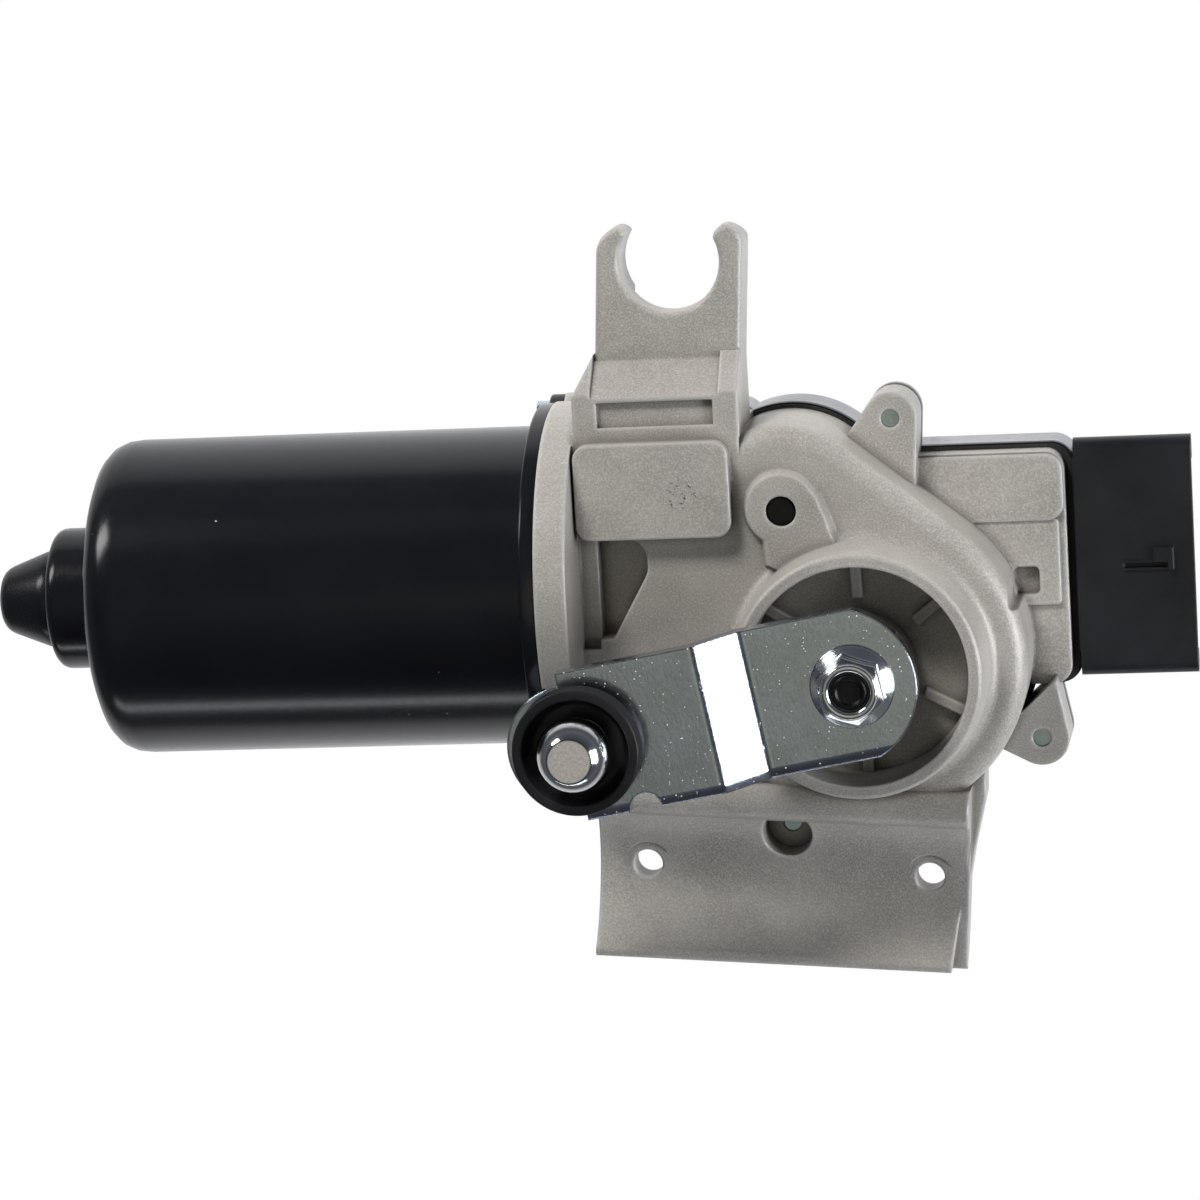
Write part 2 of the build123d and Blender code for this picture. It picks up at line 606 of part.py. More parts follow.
def build_gear_cover():
    """Pressed metal cover with rounded dish and screw flange."""
    z1 = MATE_Z - GASKET_T - FRAME_T
    z0 = z1 - FLANGE_T
    with BuildPart() as cover:
        slab(case_outline(FRAME_GROW, ears=False, side=FRAME_SIDE), COVER_BACK_Z, z1)
        bottom = cover.faces().sort_by(Axis.Z)[0]
        fillet(bottom.outer_wire().edges(), radius=3.0)
        slab(case_outline(FRAME_GROW, side=FRAME_SIDE), z0, z1)
        slab(case_outline(FRAME_GROW - COVER_WALL, ears=False, side=FRAME_SIDE), COVER_BACK_Z + COVER_WALL, z1,
             mode=Mode.SUBTRACT)
        for x, y in HIDDEN_SCREWS:
            disc((x, y), 4.8, COVER_BACK_Z + 0.5, z1)
            disc((x, y), 4.4, COVER_BACK_Z, z0, mode=Mode.SUBTRACT)
        for x, y in BOARD_SCREWS:
            disc((x, y), 2.8, COVER_BACK_Z + 0.5, BOARD_Z[0])
            disc((x, y), 1.25, COVER_BACK_Z + 3, BOARD_Z[0], mode=Mode.SUBTRACT)
        block(PLATE[0] - 4.5, PLATE[0] + 5, NECK_Y[0] - 0.3, NECK_Y[1] + 0.3, NECK_Z0 - 0.3, z1, mode=Mode.SUBTRACT)
        for x, y in COVER_SCREWS:
            disc((x, y), 2.1, z0, z1, mode=Mode.SUBTRACT)
        # Stiffening ribs pressed into the back
        for y in (-8.0, 8.0, 24.0):
            block(-30.0, 26.0, y - 2.0, y + 2.0, COVER_BACK_Z, COVER_BACK_Z + 0.8, mode=Mode.SUBTRACT, radius=1.9)
    return cover.part


def build_cover_screws():
    """Five pan head screws that clamp cover, frame and housing."""
    head = MATE_Z - GASKET_T - FRAME_T - FLANGE_T
    with BuildPart() as screws:
        for x, y in COVER_SCREWS:
            disc((x, y), 2.0, head, EAR_Z - 0.4)
            disc((x, y), 3.8, head - 2.8, head)
            with BuildSketch(Plane.XY.offset(head - 2.8)) as drive:
                with Locations((x, y)):
                    RegularPolygon(2.0, 6)
            extrude(drive.sketch, amount=1.6, mode=Mode.SUBTRACT)
    return screws.part


def build_control_board():
    """Printed board with its mounting holes."""
    with BuildPart() as board:
        block(*BOARD, *BOARD_Z, radius=2.0)
        for x, y in BOARD_SCREWS:
            disc((x, y), 1.4, *BOARD_Z, mode=Mode.SUBTRACT)
    return board.part


def build_board_screws():
    """Four small screws that hold the board on the cover."""
    with BuildPart() as screws:
        for x, y in BOARD_SCREWS:
            disc((x, y), 1.25, BOARD_Z[0] - 4.5, BOARD_Z[1])
            disc((x, y), 2.3, BOARD_Z[1], BOARD_Z[1] + 1.4)
    return screws.part


def build_power_relay():
    """Reversing relay block on the front of the board."""
    with BuildPart() as relay:
        block(16.0, 32.0, 20.0, 31.0, BOARD_Z[1], BOARD_Z[1] + 5.4, radius=1.0)
    return relay.part


def build_board_capacitor():
    """Electrolytic capacitor lying on the back of the board."""
    with BuildPart() as cap:
        rod(3.0, 8.0, 24.0, 10.0, BOARD_Z[0] - 3.0)
    return cap.part


def build_power_transistors():
    """Four switching transistors on the back of the board."""
    with BuildPart() as chips:
        for i in range(4):
            block(-4.0 + 9 * i, 2.0 + 9 * i, 24.0, 31.0, BOARD_Z[0] - 2.2, BOARD_Z[0])
    return chips.part


def build_position_sensor():
    """Angle sensor chip under the end of the output shaft."""
    with BuildPart() as chip:
        block(-3.0, 3.0, -2.5, 2.5, BOARD_Z[1], BOARD_Z[1] + 1.2)
    return chip.part


def build_motor_leads():
    """Two supply leads from the brush card to the board."""
    with BuildPart() as leads:
        for i, y in enumerate(LEAD_Y):
            with BuildLine(Plane.XZ.offset(-y)) as path:
                FilletPolyline((CARD_X[1], LEAD_Z), (-9.5, LEAD_Z), (-9.5, BOARD_Z[1]), radius=2.0)
            with BuildSketch(Plane(origin=(CARD_X[1], y, LEAD_Z), z_dir=(1, 0, 0))) as s:
                Circle(LEAD_R)
            sweep(s.sketch, path=path.line)
    return leads.part


def build_motor_can():
    """Deep drawn steel can with rear boss and front lip."""
    with BuildPart() as hollow:
        rod(CAN_R - CAN_WALL, CAN_END_X + CAN_WALL, SEAM_X + 1)
        fillet(hollow.edges().filter_by(GeomType.CIRCLE).sort_by(Axis.X)[0], radius=CAN_CORNER - CAN_WALL)
    with BuildPart() as can:
        rod(CAN_R, CAN_END_X, SEAM_X)
        fillet(can.edges().filter_by(GeomType.CIRCLE).sort_by(Axis.X)[0], radius=CAN_CORNER)
        rod(BOSS_R, BOSS_END_X, CAN_END_X + 3)
        fillet(can.edges().filter_by(GeomType.CIRCLE).sort_by(Axis.X)[0], radius=2.6)
        extrude(collar_outline(Plane.YZ.offset(SEAM_X - LIP_T), COLLAR_R - 0.3, LOBE_R - 0.2), amount=LIP_T)
        add(hollow.part, mode=Mode.SUBTRACT)
        rod(BOSS_R - CAN_WALL, BOSS_END_X + CAN_WALL, CAN_END_X + 5, mode=Mode.SUBTRACT)
        rod(5.0, BOSS_END_X - 1, BOSS_END_X + 5, mode=Mode.SUBTRACT)
        for y, z in can_screw_points():
            rod(2.2, SEAM_X - LIP_T - 1, SEAM_X + 1, y, z, mode=Mode.SUBTRACT)
    return can.part


def build_can_screws():
    """Two screws through the lip of the can."""
    with BuildPart() as screws:
        for y, z in can_screw_points():
            rod(2.0, SEAM_X - LIP_T, SEAM_X + 9.0, y, z)
            rod(3.4, SEAM_X - LIP_T - 3.0, SEAM_X - LIP_T, y, z)
    return screws.part


def build_rear_cap():
    """Tapered rubber cap on the rear boss."""
    with BuildPart() as cap:
        with BuildSketch(Plane.XZ.offset(-MOTOR_Y)) as s:
            with BuildLine():
                tip = CAP_TIP_X
                Polyline((BOSS_END_X + 2.0, MOTOR_Z), (BOSS_END_X + 2.0, MOTOR_Z + 4.95), (BOSS_END_X, MOTOR_Z + 4.95),
                         (BOSS_END_X, MOTOR_Z + 9.6), (BOSS_END_X - 4.5, MOTOR_Z + 9.6),
                         (tip + 2.4, MOTOR_Z + 7.2))
                ThreePointArc((tip + 2.4, MOTOR_Z + 7.2), (tip + 0.5, MOTOR_Z + 5.8), (tip, MOTOR_Z + 3.4))
                Polyline((tip, MOTOR_Z + 3.4), (tip, MOTOR_Z), (BOSS_END_X + 2.0, MOTOR_Z))
            make_face()
        revolve(s.sketch, axis=Axis((0, MOTOR_Y, MOTOR_Z), (1, 0, 0)))
    return cap.part


def build_rear_bushing():
    """Sintered bearing of the rear shaft end."""
    with BuildPart() as bushing:
        tube(9.0, 4.0 + RUN_FIT, -175.0, -168.5)
    return bushing.part


def build_bushing_cup():
    """Pressed cup that holds the rear bushing in the boss."""
    with BuildPart() as cup:
        tube(BOSS_R - CAN_WALL - 0.02, 9.02, -176.0, -167.5)
    return cup.part


def build_thrust_pad():
    """Plastic pad that takes the end thrust of the armature."""
    with BuildPart() as pad:
        rod(6.0, BOSS_END_X + CAN_WALL, -176.4)
    return pad.part


def build_magnet(index):
    """One ferrite magnet of the four around the armature."""
    with BuildPart() as magnet:
        with BuildSketch(Plane.YZ.offset(-146.0)) as s:
            with Locations((MOTOR_Y, MOTOR_Z)):
                Circle(CAN_R - CAN_WALL - 0.05)
                Circle(26.0, mode=Mode.SUBTRACT)
            gap = 12.0
            start = 90.0 * index + 45.0 + gap
            with BuildLine():
                a, b = radians(start), radians(start + 90 - 2 * gap)
                mid = (a + b) / 2
                far = 60.0
                Polyline((MOTOR_Y, MOTOR_Z), (MOTOR_Y + far * cos(a), MOTOR_Z + far * sin(a)),
                         (MOTOR_Y + far * cos(mid), MOTOR_Z + far * sin(mid)),
                         (MOTOR_Y + far * cos(b), MOTOR_Z + far * sin(b)), close=True)
            make_face(mode=Mode.INTERSECT)
        extrude(s.sketch, amount=56.0)
    return magnet.part


def build_armature_shaft():
    """Armature shaft with the two start worm rolled on its front end."""
    root_r, tip_r = WORM_PITCH_R - 1.1, WORM_PITCH_R + 0.85
    with BuildPart() as shaft:
        rod(4.0, -176.3, -160.0)
        rod(5.0, -160.0, -36.0)
        rod(root_r, -36.0, TAIL_X[1] + 1.6)
        for start in range(WORM_STARTS):
            foot = root_r - 0.35
            helix = Helix(pitch=WORM_LEAD, height=WORM_SPAN[1] - WORM_SPAN[0], radius=foot)
            turn = degrees(2 * pi * (IDLER_X - WORM_SPAN[0]) / WORM_LEAD)
            helix = helix.rotate(Axis.Z, -turn + 360.0 * start / WORM_STARTS)
            place = Plane(origin=(WORM_SPAN[0], MOTOR_Y, MOTOR_Z), x_dir=(0, 1, 0), z_dir=(1, 0, 0))
            helix = place.from_local_coords(helix)
            begin = helix @ 0
            out = Vector(0, begin.Y - MOTOR_Y, begin.Z - MOTOR_Z).normalized()
            with BuildSketch(Plane(origin=begin, x_dir=out, z_dir=helix % 0)) as s:
                with BuildLine():
                    half = THREAD_PITCH_W / 2
                    at_pitch = WORM_PITCH_R - foot
                    slope = tan(radians(20))
                    root_w = half + at_pitch * slope
                    tip_w = half - (tip_r - WORM_PITCH_R) * slope
                    Polyline((0, -root_w), (tip_r - foot, -tip_w), (tip_r - foot, tip_w), (0, root_w), close=True)
                make_face()
            sweep(s.sketch, path=helix, is_frenet=True)
    return shaft.part


def build_armature_core():
    """Laminated armature stack with twelve slots."""
    with BuildPart() as core:
        with BuildSketch(Plane.YZ.offset(CORE_X[0])) as s:
            with Locations((MOTOR_Y, MOTOR_Z)):
                Circle(CORE_R)
                Circle(5.0, mode=Mode.SUBTRACT)
                with PolarLocations(SLOT_R, SLOTS):
                    Circle(3.5, mode=Mode.SUBTRACT)
                with PolarLocations(CORE_R - 1.5, SLOTS):
                    Rectangle(6.0, 2.2, mode=Mode.SUBTRACT)
        extrude(s.sketch, amount=CORE_X[1] - CORE_X[0])
    return core.part


def build_armature_windings():
    """Copper coils, the bundles in the slots joined by their end turns."""
    with BuildPart() as coils:
        for x0, x1 in ((CORE_X[0] - 8.0, CORE_X[0]), (CORE_X[1], CORE_X[1] + 8.0)):
            tube(23.4, 11.0, x0, x1)
        fillet(coils.edges().filter_by(GeomType.CIRCLE).filter_by(lambda e: e.radius > 20), radius=2.6)
        with BuildSketch(Plane.YZ.offset(CORE_X[0] - 3.0)) as s:
            with Locations((MOTOR_Y, MOTOR_Z)):
                with PolarLocations(SLOT_R, SLOTS):
                    Circle(3.3)
        extrude(s.sketch, amount=CORE_X[1] - CORE_X[0] + 6.0)
    return coils.part


def build_commutator():
    """Copper commutator with a slit between its bars."""
    with BuildPart() as commutator:
        tube(COMMUTATOR_R, 5.0, *COMMUTATOR_X)
        with BuildSketch(Plane.YZ.offset(COMMUTATOR_X[0])) as s:
            with Locations((MOTOR_Y, MOTOR_Z)):
                with PolarLocations(COMMUTATOR_R, SLOTS):
                    Rectangle(2.0, 0.7)
        extrude(s.sketch, amount=COMMUTATOR_X[1] - COMMUTATOR_X[0], mode=Mode.SUBTRACT)
        tube(COMMUTATOR_R + 1.2, COMMUTATOR_R - 1.5, COMMUTATOR_X[0], COMMUTATOR_X[0] + 1.6)
    return commutator.part


def radial_plane(angle, x):
    """Plane at station x whose own x axis points outward at an angle."""
    a = radians(angle)
    return Plane(origin=(x, MOTOR_Y, MOTOR_Z), x_dir=(0, cos(a), sin(a)), z_dir=(1, 0, 0))


def radial_bar(angle, r0, r1, width, x0, x1, mode=Mode.ADD):
    """Bar that points outward from the motor axis."""
    with BuildSketch(radial_plane(angle, x0)) as s:
        with Locations(((r0 + r1) / 2, 0)):
            Rectangle(r1 - r0, width)
    extrude(s.sketch, amount=x1 - x0, mode=mode)


def build_brush_card():
    """Insulating card in the motor collar that carries the brush gear."""
    with BuildPart() as card:
        tube(29.6, 12.9, *CARD_X)
        for y in LEAD_Y:
            rod(LEAD_R + 0.05, CARD_X[0] - 1, CARD_X[1] + 1, y, LEAD_Z, mode=Mode.SUBTRACT)
        tube(29.6, 28.2, CARD_X[0] - 1.8, CARD_X[0])
    return card.part


def build_brush_holders():
    """Three brass boxes that guide the brushes."""
    with BuildPart() as holders:
        for angle in BRUSH_DEG:
            radial_bar(angle, 13.6, 26.0, 8.0, BRUSH_X[0] - 1.0, CARD_X[0])
            radial_bar(angle, 13.0, 25.2, 6.1, BRUSH_X[0] - 0.05, BRUSH_X[1] + 0.05, mode=Mode.SUBTRACT)
            radial_bar(angle, 13.0, 26.5, 6.1, BRUSH_X[1] + 1.0, CARD_X[0] - 1.0, mode=Mode.SUBTRACT)
    return holders.part


def build_brushes():
    """Three carbon brushes with concave ends over the commutator."""
    with BuildPart() as brushes:
        for angle in BRUSH_DEG:
            radial_bar(angle, COMMUTATOR_R - 1.0, 20.0, 6.0, *BRUSH_X)
        rod(COMMUTATOR_R + 0.3, BRUSH_X[0] - 1, BRUSH_X[1] + 1, mode=Mode.SUBTRACT)
    return brushes.part


def build_brush_springs():
    """Three coil springs behind the brushes."""
    with BuildPart() as springs:
        for angle in BRUSH_DEG:
            a = radians(angle)
            base = Plane(origin=((BRUSH_X[0] + BRUSH_X[1]) / 2, MOTOR_Y + 20.4 * cos(a), MOTOR_Z + 20.4 * sin(a)),
                         z_dir=(0, cos(a), sin(a)))
            helix = base.from_local_coords(Helix(pitch=1.4, height=4.2, radius=2.0))
            with BuildSketch(Plane(origin=helix @ 0, z_dir=helix % 0)) as s:
                Circle(0.35)
            sweep(s.sketch, path=helix, is_frenet=True)
    return springs.part


def build_choke_coils():
    """Two interference chokes on the brush card."""
    with BuildPart() as chokes:
        for angle in (30.0, 150.0):
            a = radians(angle)
            rod(3.4, -79.0, CARD_X[0], MOTOR_Y + 20.5 * cos(a), MOTOR_Z + 20.5 * sin(a))
            rod(1.6, -81.0, -79.0, MOTOR_Y + 20.5 * cos(a), MOTOR_Z + 20.5 * sin(a))
    return chokes.part


def build_suppression_capacitor():
    """Interference capacitor on the brush card."""
    with BuildPart() as cap:
        radial_bar(270.0, 17.0, 24.0, 9.0, -72.0, CARD_X[0])
    return cap.part


def build_bearing_outer():
    """Outer race of the front ball bearing."""
    with BuildPart() as race:
        tube(11.0, 9.2, *BEARING_X)
        with BuildSketch(Plane.XZ.offset(-MOTOR_Y)) as groove:
            with Locations(((BEARING_X[0] + BEARING_X[1]) / 2, MOTOR_Z + 8.0)):
                Circle(1.8)
        revolve(groove.sketch, axis=Axis((0, MOTOR_Y, MOTOR_Z), (1, 0, 0)), mode=Mode.SUBTRACT)
    return race.part


def build_bearing_inner():
    """Inner race of the front ball bearing, pressed on the shaft."""
    with BuildPart() as race:
        tube(6.8, 5.0, *BEARING_X)
        with BuildSketch(Plane.XZ.offset(-MOTOR_Y)) as groove:
            with Locations(((BEARING_X[0] + BEARING_X[1]) / 2, MOTOR_Z + 8.0)):
                Circle(1.8)
        revolve(groove.sketch, axis=Axis((0, MOTOR_Y, MOTOR_Z), (1, 0, 0)), mode=Mode.SUBTRACT)
    return race.part


def build_bearing_balls():
    """Nine balls between the races."""
    with BuildPart() as balls:
        for i in range(9):
            a = 2 * pi * i / 9
            with Locations(((BEARING_X[0] + BEARING_X[1]) / 2, MOTOR_Y + 8.0 * cos(a), MOTOR_Z + 8.0 * sin(a))):
                Sphere(1.75)
    return balls.part


def build_bearing_retainer():
    """Ring that holds the front bearing in its seat."""
    with BuildPart() as ring:
        tube(11.0, 8.4, -57.6, BEARING_X[0])
    return ring.part


def build_tail_bushing():
    """Bearing of the worm end in the chamber wall block."""
    with BuildPart() as bushing:
        tube(5.0, WORM_PITCH_R - 1.1 + RUN_FIT, *TAIL_X)
    return bushing.part


def build_idler_pin():
    """Fixed steel pin of the idler, its end shows in the front boss."""
    with BuildPart() as pin:
        disc(IDLER, 3.25, -27.6, BOSS_Z - 0.5)
        with BuildSketch(Plane.XY.offset(-26.9)) as groove:
            with Locations(IDLER):
                Circle(4.0)
                Circle(2.6, mode=Mode.SUBTRACT)
        extrude(groove.sketch, amount=0.8, mode=Mode.SUBTRACT)
        chamfer(pin.edges().filter_by(GeomType.CIRCLE).sort_by(Axis.Z)[-1], length=0.5)
    return pin.part


def build_idler_clip():
    """Retaining clip in the groove of the idler pin."""
    with BuildPart() as clip:
        disc(IDLER, 5.2, -26.85, -26.15)
        disc(IDLER, 2.62, -26.85, -26.15, mode=Mode.SUBTRACT)
        block(IDLER_X - 1.9, IDLER_X + 1.9, IDLER_Y, IDLER_Y + 6, -26.85, -26.15, mode=Mode.SUBTRACT)
    return clip.part


def build_idler_gear():
    """Helical worm wheel and spur pinion moulded as one."""
    with BuildPart() as idler:
        steps = 3
        for i in range(steps):
            faces = []
            for k in (i, i + 1):
                z = -WHEEL_FACE / 2 + WHEEL_FACE * k / steps
                pts = gear_points(WHEEL_TEETH, WHEEL_PITCH_R - 1.0, WHEEL_PITCH_R + 0.8, 1.85, 0.72,
                                  -pi / 2 + pi / WHEEL_TEETH + WHEEL_TWIST * z)
                outline = polygon([(IDLER_X + x, IDLER_Y + y) for x, y in pts])
                faces.append(outline.moved(Location((0, 0, MOTOR_Z + z))).face())
            loft(faces, ruled=True)
        toward = atan2(-IDLER_Y, -IDLER_X)
        pts = gear_points(PINION_TEETH, 6.3, 8.45, 2.3, 0.62, toward)
        slab(polygon([(IDLER_X + x, IDLER_Y + y) for x, y in pts]), *PINION_Z)
        disc(IDLER, 6.3, MOTOR_Z, PINION_Z[0])
        disc(IDLER, 3.25 + RUN_FIT, MOTOR_Z - 10, 0, mode=Mode.SUBTRACT)
        # Lightening groove in the back of the wheel
        disc(IDLER, 11.4, MOTOR_Z - WHEEL_FACE / 2, MOTOR_Z - 1.5, mode=Mode.SUBTRACT)
        disc(IDLER, 5.6, MOTOR_Z - WHEEL_FACE / 2, MOTOR_Z - 1.4)
        disc(IDLER, 3.25 + RUN_FIT, MOTOR_Z - 10, 0, mode=Mode.SUBTRACT)
    return idler.part


def build_output_gear():
    """Output gear with hub and lightening pockets."""
    r = SPUR_MODULE * OUTPUT_TEETH / 2
    away = atan2(IDLER_Y, IDLER_X) + pi / OUTPUT_TEETH
    with BuildPart() as gear:
        slab(polygon(gear_points(OUTPUT_TEETH, r - OUTPUT_DEDENDUM, r + OUTPUT_ADDENDUM, *OUTPUT_TOOTH_W, away)),
             *GEAR_Z)
        disc((0, 0), GEAR_HUB_R, -22.0, -7.0)
        with BuildSketch(Plane.XY.offset(GEAR_Z[0])) as pockets:
            Circle(26.0)
            Circle(12.0, mode=Mode.SUBTRACT)
            with PolarLocations(19.0, 6):
                Rectangle(16.0, 2.4, mode=Mode.SUBTRACT)
        extrude(pockets.sketch, amount=3.2, mode=Mode.SUBTRACT)
        disc((0, 0), SHAFT_R, -23, 0, mode=Mode.SUBTRACT)
    return gear.part


def build_output_shaft():
    """Output shaft with clip groove, crank taper and threaded end."""
    with BuildPart() as shaft:
        with BuildSketch(Plane.XZ) as s:
            with BuildLine():
                Polyline((0, -24.0), (SHAFT_R, -24.0), (SHAFT_R, CLIP_Z), (SHAFT_R - 0.6, CLIP_Z),
                         (SHAFT_R - 0.6, CLIP_Z + 1.1), (SHAFT_R, CLIP_Z + 1.1), (SHAFT_R, TAPER_Z[0]),
                         (TAPER_R, TAPER_Z[1]), (THREAD_R, TAPER_Z[1]), (THREAD_R, THREAD_END_Z - 0.6),
                         (THREAD_R - 0.6, THREAD_END_Z), (3.0, THREAD_END_Z), (2.7, THREAD_END_Z - 0.5),
                         (0, THREAD_END_Z - 0.5), close=True)
            make_face()
        revolve(s.sketch, axis=Axis.Z)
    return shaft.part


def build_output_bushing():
    """Sintered bearing of the output shaft in the housing hub."""
    with BuildPart() as bushing:
        disc((0, 0), BUSHING_R, INNER_Z, 6.0)
        disc((0, 0), SHAFT_R + RUN_FIT, INNER_Z, 6.0, mode=Mode.SUBTRACT)
    return bushing.part


def build_shaft_seal():
    """Rubber lip seal above the output bushing."""
    with BuildPart() as seal:
        disc((0, 0), BUSHING_R, 6.0, HUB_TOP_Z)
        disc((0, 0), SHAFT_R + 0.1, 6.0, HUB_TOP_Z, mode=Mode.SUBTRACT)
    return seal.part


def build_shaft_washer():
    """Thrust washer under the shaft clip."""
    with BuildPart() as washer:
        disc((0, 0), 9.6, HUB_TOP_Z + 0.1, CLIP_Z)
        disc((0, 0), SHAFT_R, HUB_TOP_Z + 0.1, CLIP_Z, mode=Mode.SUBTRACT)
    return washer.part


def build_shaft_clip():
    """Retaining clip in the groove of the output shaft."""
    with BuildPart() as clip:
        disc((0, 0), 8.2, CLIP_Z, CLIP_Z + 1.0)
        disc((0, 0), SHAFT_R - 0.6, CLIP_Z, CLIP_Z + 1.0, mode=Mode.SUBTRACT)
        block(-2.5, 2.5, 0, 10, CLIP_Z, CLIP_Z + 1.0, mode=Mode.SUBTRACT)
    return clip.part


def build_sensor_magnet():
    """Magnet on the hidden end of the output shaft."""
    with BuildPart() as magnet:
        disc((0, 0), 5.0, -26.8, -24.0)
    return magnet.part


def crank_plane():
    """Vertical plane through the shaft axis and the ball."""
    a = radians(CRANK_DEG)
    return Plane(origin=(0, 0, 0), x_dir=(cos(a), sin(a), 0), z_dir=(sin(a), -cos(a), 0))


def build_crank_arm():
    """Stepped crank bent from plate."""
    s0, s1 = CRANK_BEND
    k = CRANK_T * tan(atan2(CRANK_HIGH_Z - CRANK_LOW_Z, s1 - s0) / 2)
    low, high = CRANK_LOW_Z, CRANK_HIGH_Z
    with BuildPart() as crank:
        with BuildSketch(crank_plane()) as s:
            with BuildLine():
                Polyline((-20.0, low), (s0 + k, low), (s1 + k, high), (80.0, high), (80.0, high + CRANK_T),
                         (s1, high + CRANK_T), (s0, low + CRANK_T), (-20.0, low + CRANK_T), close=True)
            make_face()
        extrude(s.sketch, amount=CRANK_WIDTH / 2 + 2, both=True)
        a = radians(CRANK_DEG)
        cross = crank.edges().filter_by(lambda e: abs(e.length - CRANK_WIDTH - 4) < 0.01)
        fillet(cross.filter_by(lambda e: 15 < e.center().X * cos(a) + e.center().Y * sin(a) < 40), radius=2.4)
        with BuildSketch(Plane(origin=(0, 0, 0), x_dir=(cos(a), sin(a), 0), z_dir=(0, 0, 1))) as plan:
            with Locations((CRANK_END_S, 0)):
                Circle(CRANK_END_R)
            with Locations(((CRANK_CORNER_S + CRANK_END_S) / 2, 0)):
                Rectangle(CRANK_CORNER_S - CRANK_END_S, CRANK_WIDTH)
            with Locations((CRANK_LENGTH / 2, 0)):
                Rectangle(200, CRANK_WIDTH, mode=Mode.INTERSECT)
            with Locations((CRANK_TIP_S, 0)):
                Circle(CRANK_TIP_R)
            with Locations((NOTCH_S, CRANK_WIDTH / 2)):
                Circle(NOTCH_R, mode=Mode.SUBTRACT)
        extrude(plan.sketch, amount=60.0, mode=Mode.INTERSECT)
        # Tapered seat on the shaft and the rivet hole of the ball stud
        with BuildSketch(Plane.XZ) as seat:
            with BuildLine():
                Polyline((0, TAPER_Z[0]), (SHAFT_R, TAPER_Z[0]), (TAPER_R, TAPER_Z[1]), (TAPER_R, low + CRANK_T + 1),
                         (0, low + CRANK_T + 1), close=True)
            make_face()
        revolve(seat.sketch, axis=Axis.Z, mode=Mode.SUBTRACT)
        disc(BALL_XY, 5.0, 20, 30, mode=Mode.SUBTRACT)
    return crank.part


def build_crank_nut():
    """Flanged hexagon nut that clamps the crank."""
    with BuildPart() as nut:
        base = CRANK_LOW_Z + CRANK_T
        with BuildSketch(Plane.XY.offset(base)) as hexagon:
            RegularPolygon(6.5, 6, major_radius=False, rotation=12)
        extrude(hexagon.sketch, amount=NUT_HEIGHT)
        with BuildSketch(Plane.XZ) as cone:
            with BuildLine():
                Polyline((0, base), (8.9, base), (8.9, base + 1.0), (6.2, base + 3.2), (0, base + 3.2), close=True)
            make_face()
        revolve(cone.sketch, axis=Axis.Z)
        with BuildSketch(Plane.XZ) as crown:
            with BuildLine():
                Polyline((6.3, base + NUT_HEIGHT + 0.1), (7.8, base + NUT_HEIGHT + 0.1), (7.8, base + NUT_HEIGHT - 1.1),
                         close=True)
            make_face()
        revolve(crown.sketch, axis=Axis.Z, mode=Mode.SUBTRACT)
        disc((0, 0), THREAD_R, base - 1, base + NUT_HEIGHT + 1, mode=Mode.SUBTRACT)
        disc((0, 0), THREAD_R + 0.1, base + NUT_HEIGHT - 0.7, base + NUT_HEIGHT + 0.1, taper=-45, mode=Mode.SUBTRACT)
    return nut.part


def build_ball_stud():
    """Ball stud riveted to the crank end."""
    x, y = BALL_XY
    top = sqrt(BALL_R**2 - (BALL_TOP_Z - BALL_Z) ** 2)
    low = CRANK_HIGH_Z
    with BuildPart() as stud:
        with BuildSketch(Plane.XZ.offset(-y)) as s:
            with BuildLine():
                neck = 4.4
                meet = BALL_Z - sqrt(BALL_R**2 - neck**2)
                Polyline((x, BALL_TOP_Z), (x + top, BALL_TOP_Z))
                ThreePointArc((x + top, BALL_TOP_Z), (x + BALL_R, BALL_Z), (x + neck, meet))
                Polyline((x + neck, meet), (x + neck, low + CRANK_T + 1.2), (x + 6.4, low + CRANK_T + 1.2),
                         (x + 6.4, low + CRANK_T), (x + 5.0, low + CRANK_T), (x + 5.0, low), (x + 6.2, low),
                         (x + 5.4, low - 1.2), (x, low - 1.2), (x, BALL_TOP_Z))
            make_face()
        revolve(s.sketch, axis=Axis((x, y, 0), (0, 0, 1)))
    return stud.part


def build_dust_boot():
    """Rubber cup around the foot of the ball."""
    x, y = BALL_XY
    base = CRANK_HIGH_Z + CRANK_T
    with BuildPart() as boot:
        with BuildSketch(Plane.XZ.offset(-y)) as s:
            with BuildLine():
                Polyline((x + 6.45, base), (x + 12.0, base), (x + 13.4, base + 1.6), (x + 13.5, base + 6.6),
                         (x + 12.9, base + 7.5), (x + 11.9, base + 7.5), (x + 11.4, base + 6.9),
                         (x + 10.9, base + 3.0), (x + 9.6, base + 1.8), (x + 6.45, base + 1.8), close=True)
            make_face()
        revolve(s.sketch, axis=Axis((x, y, 0), (0, 0, 1)))
    return boot.part


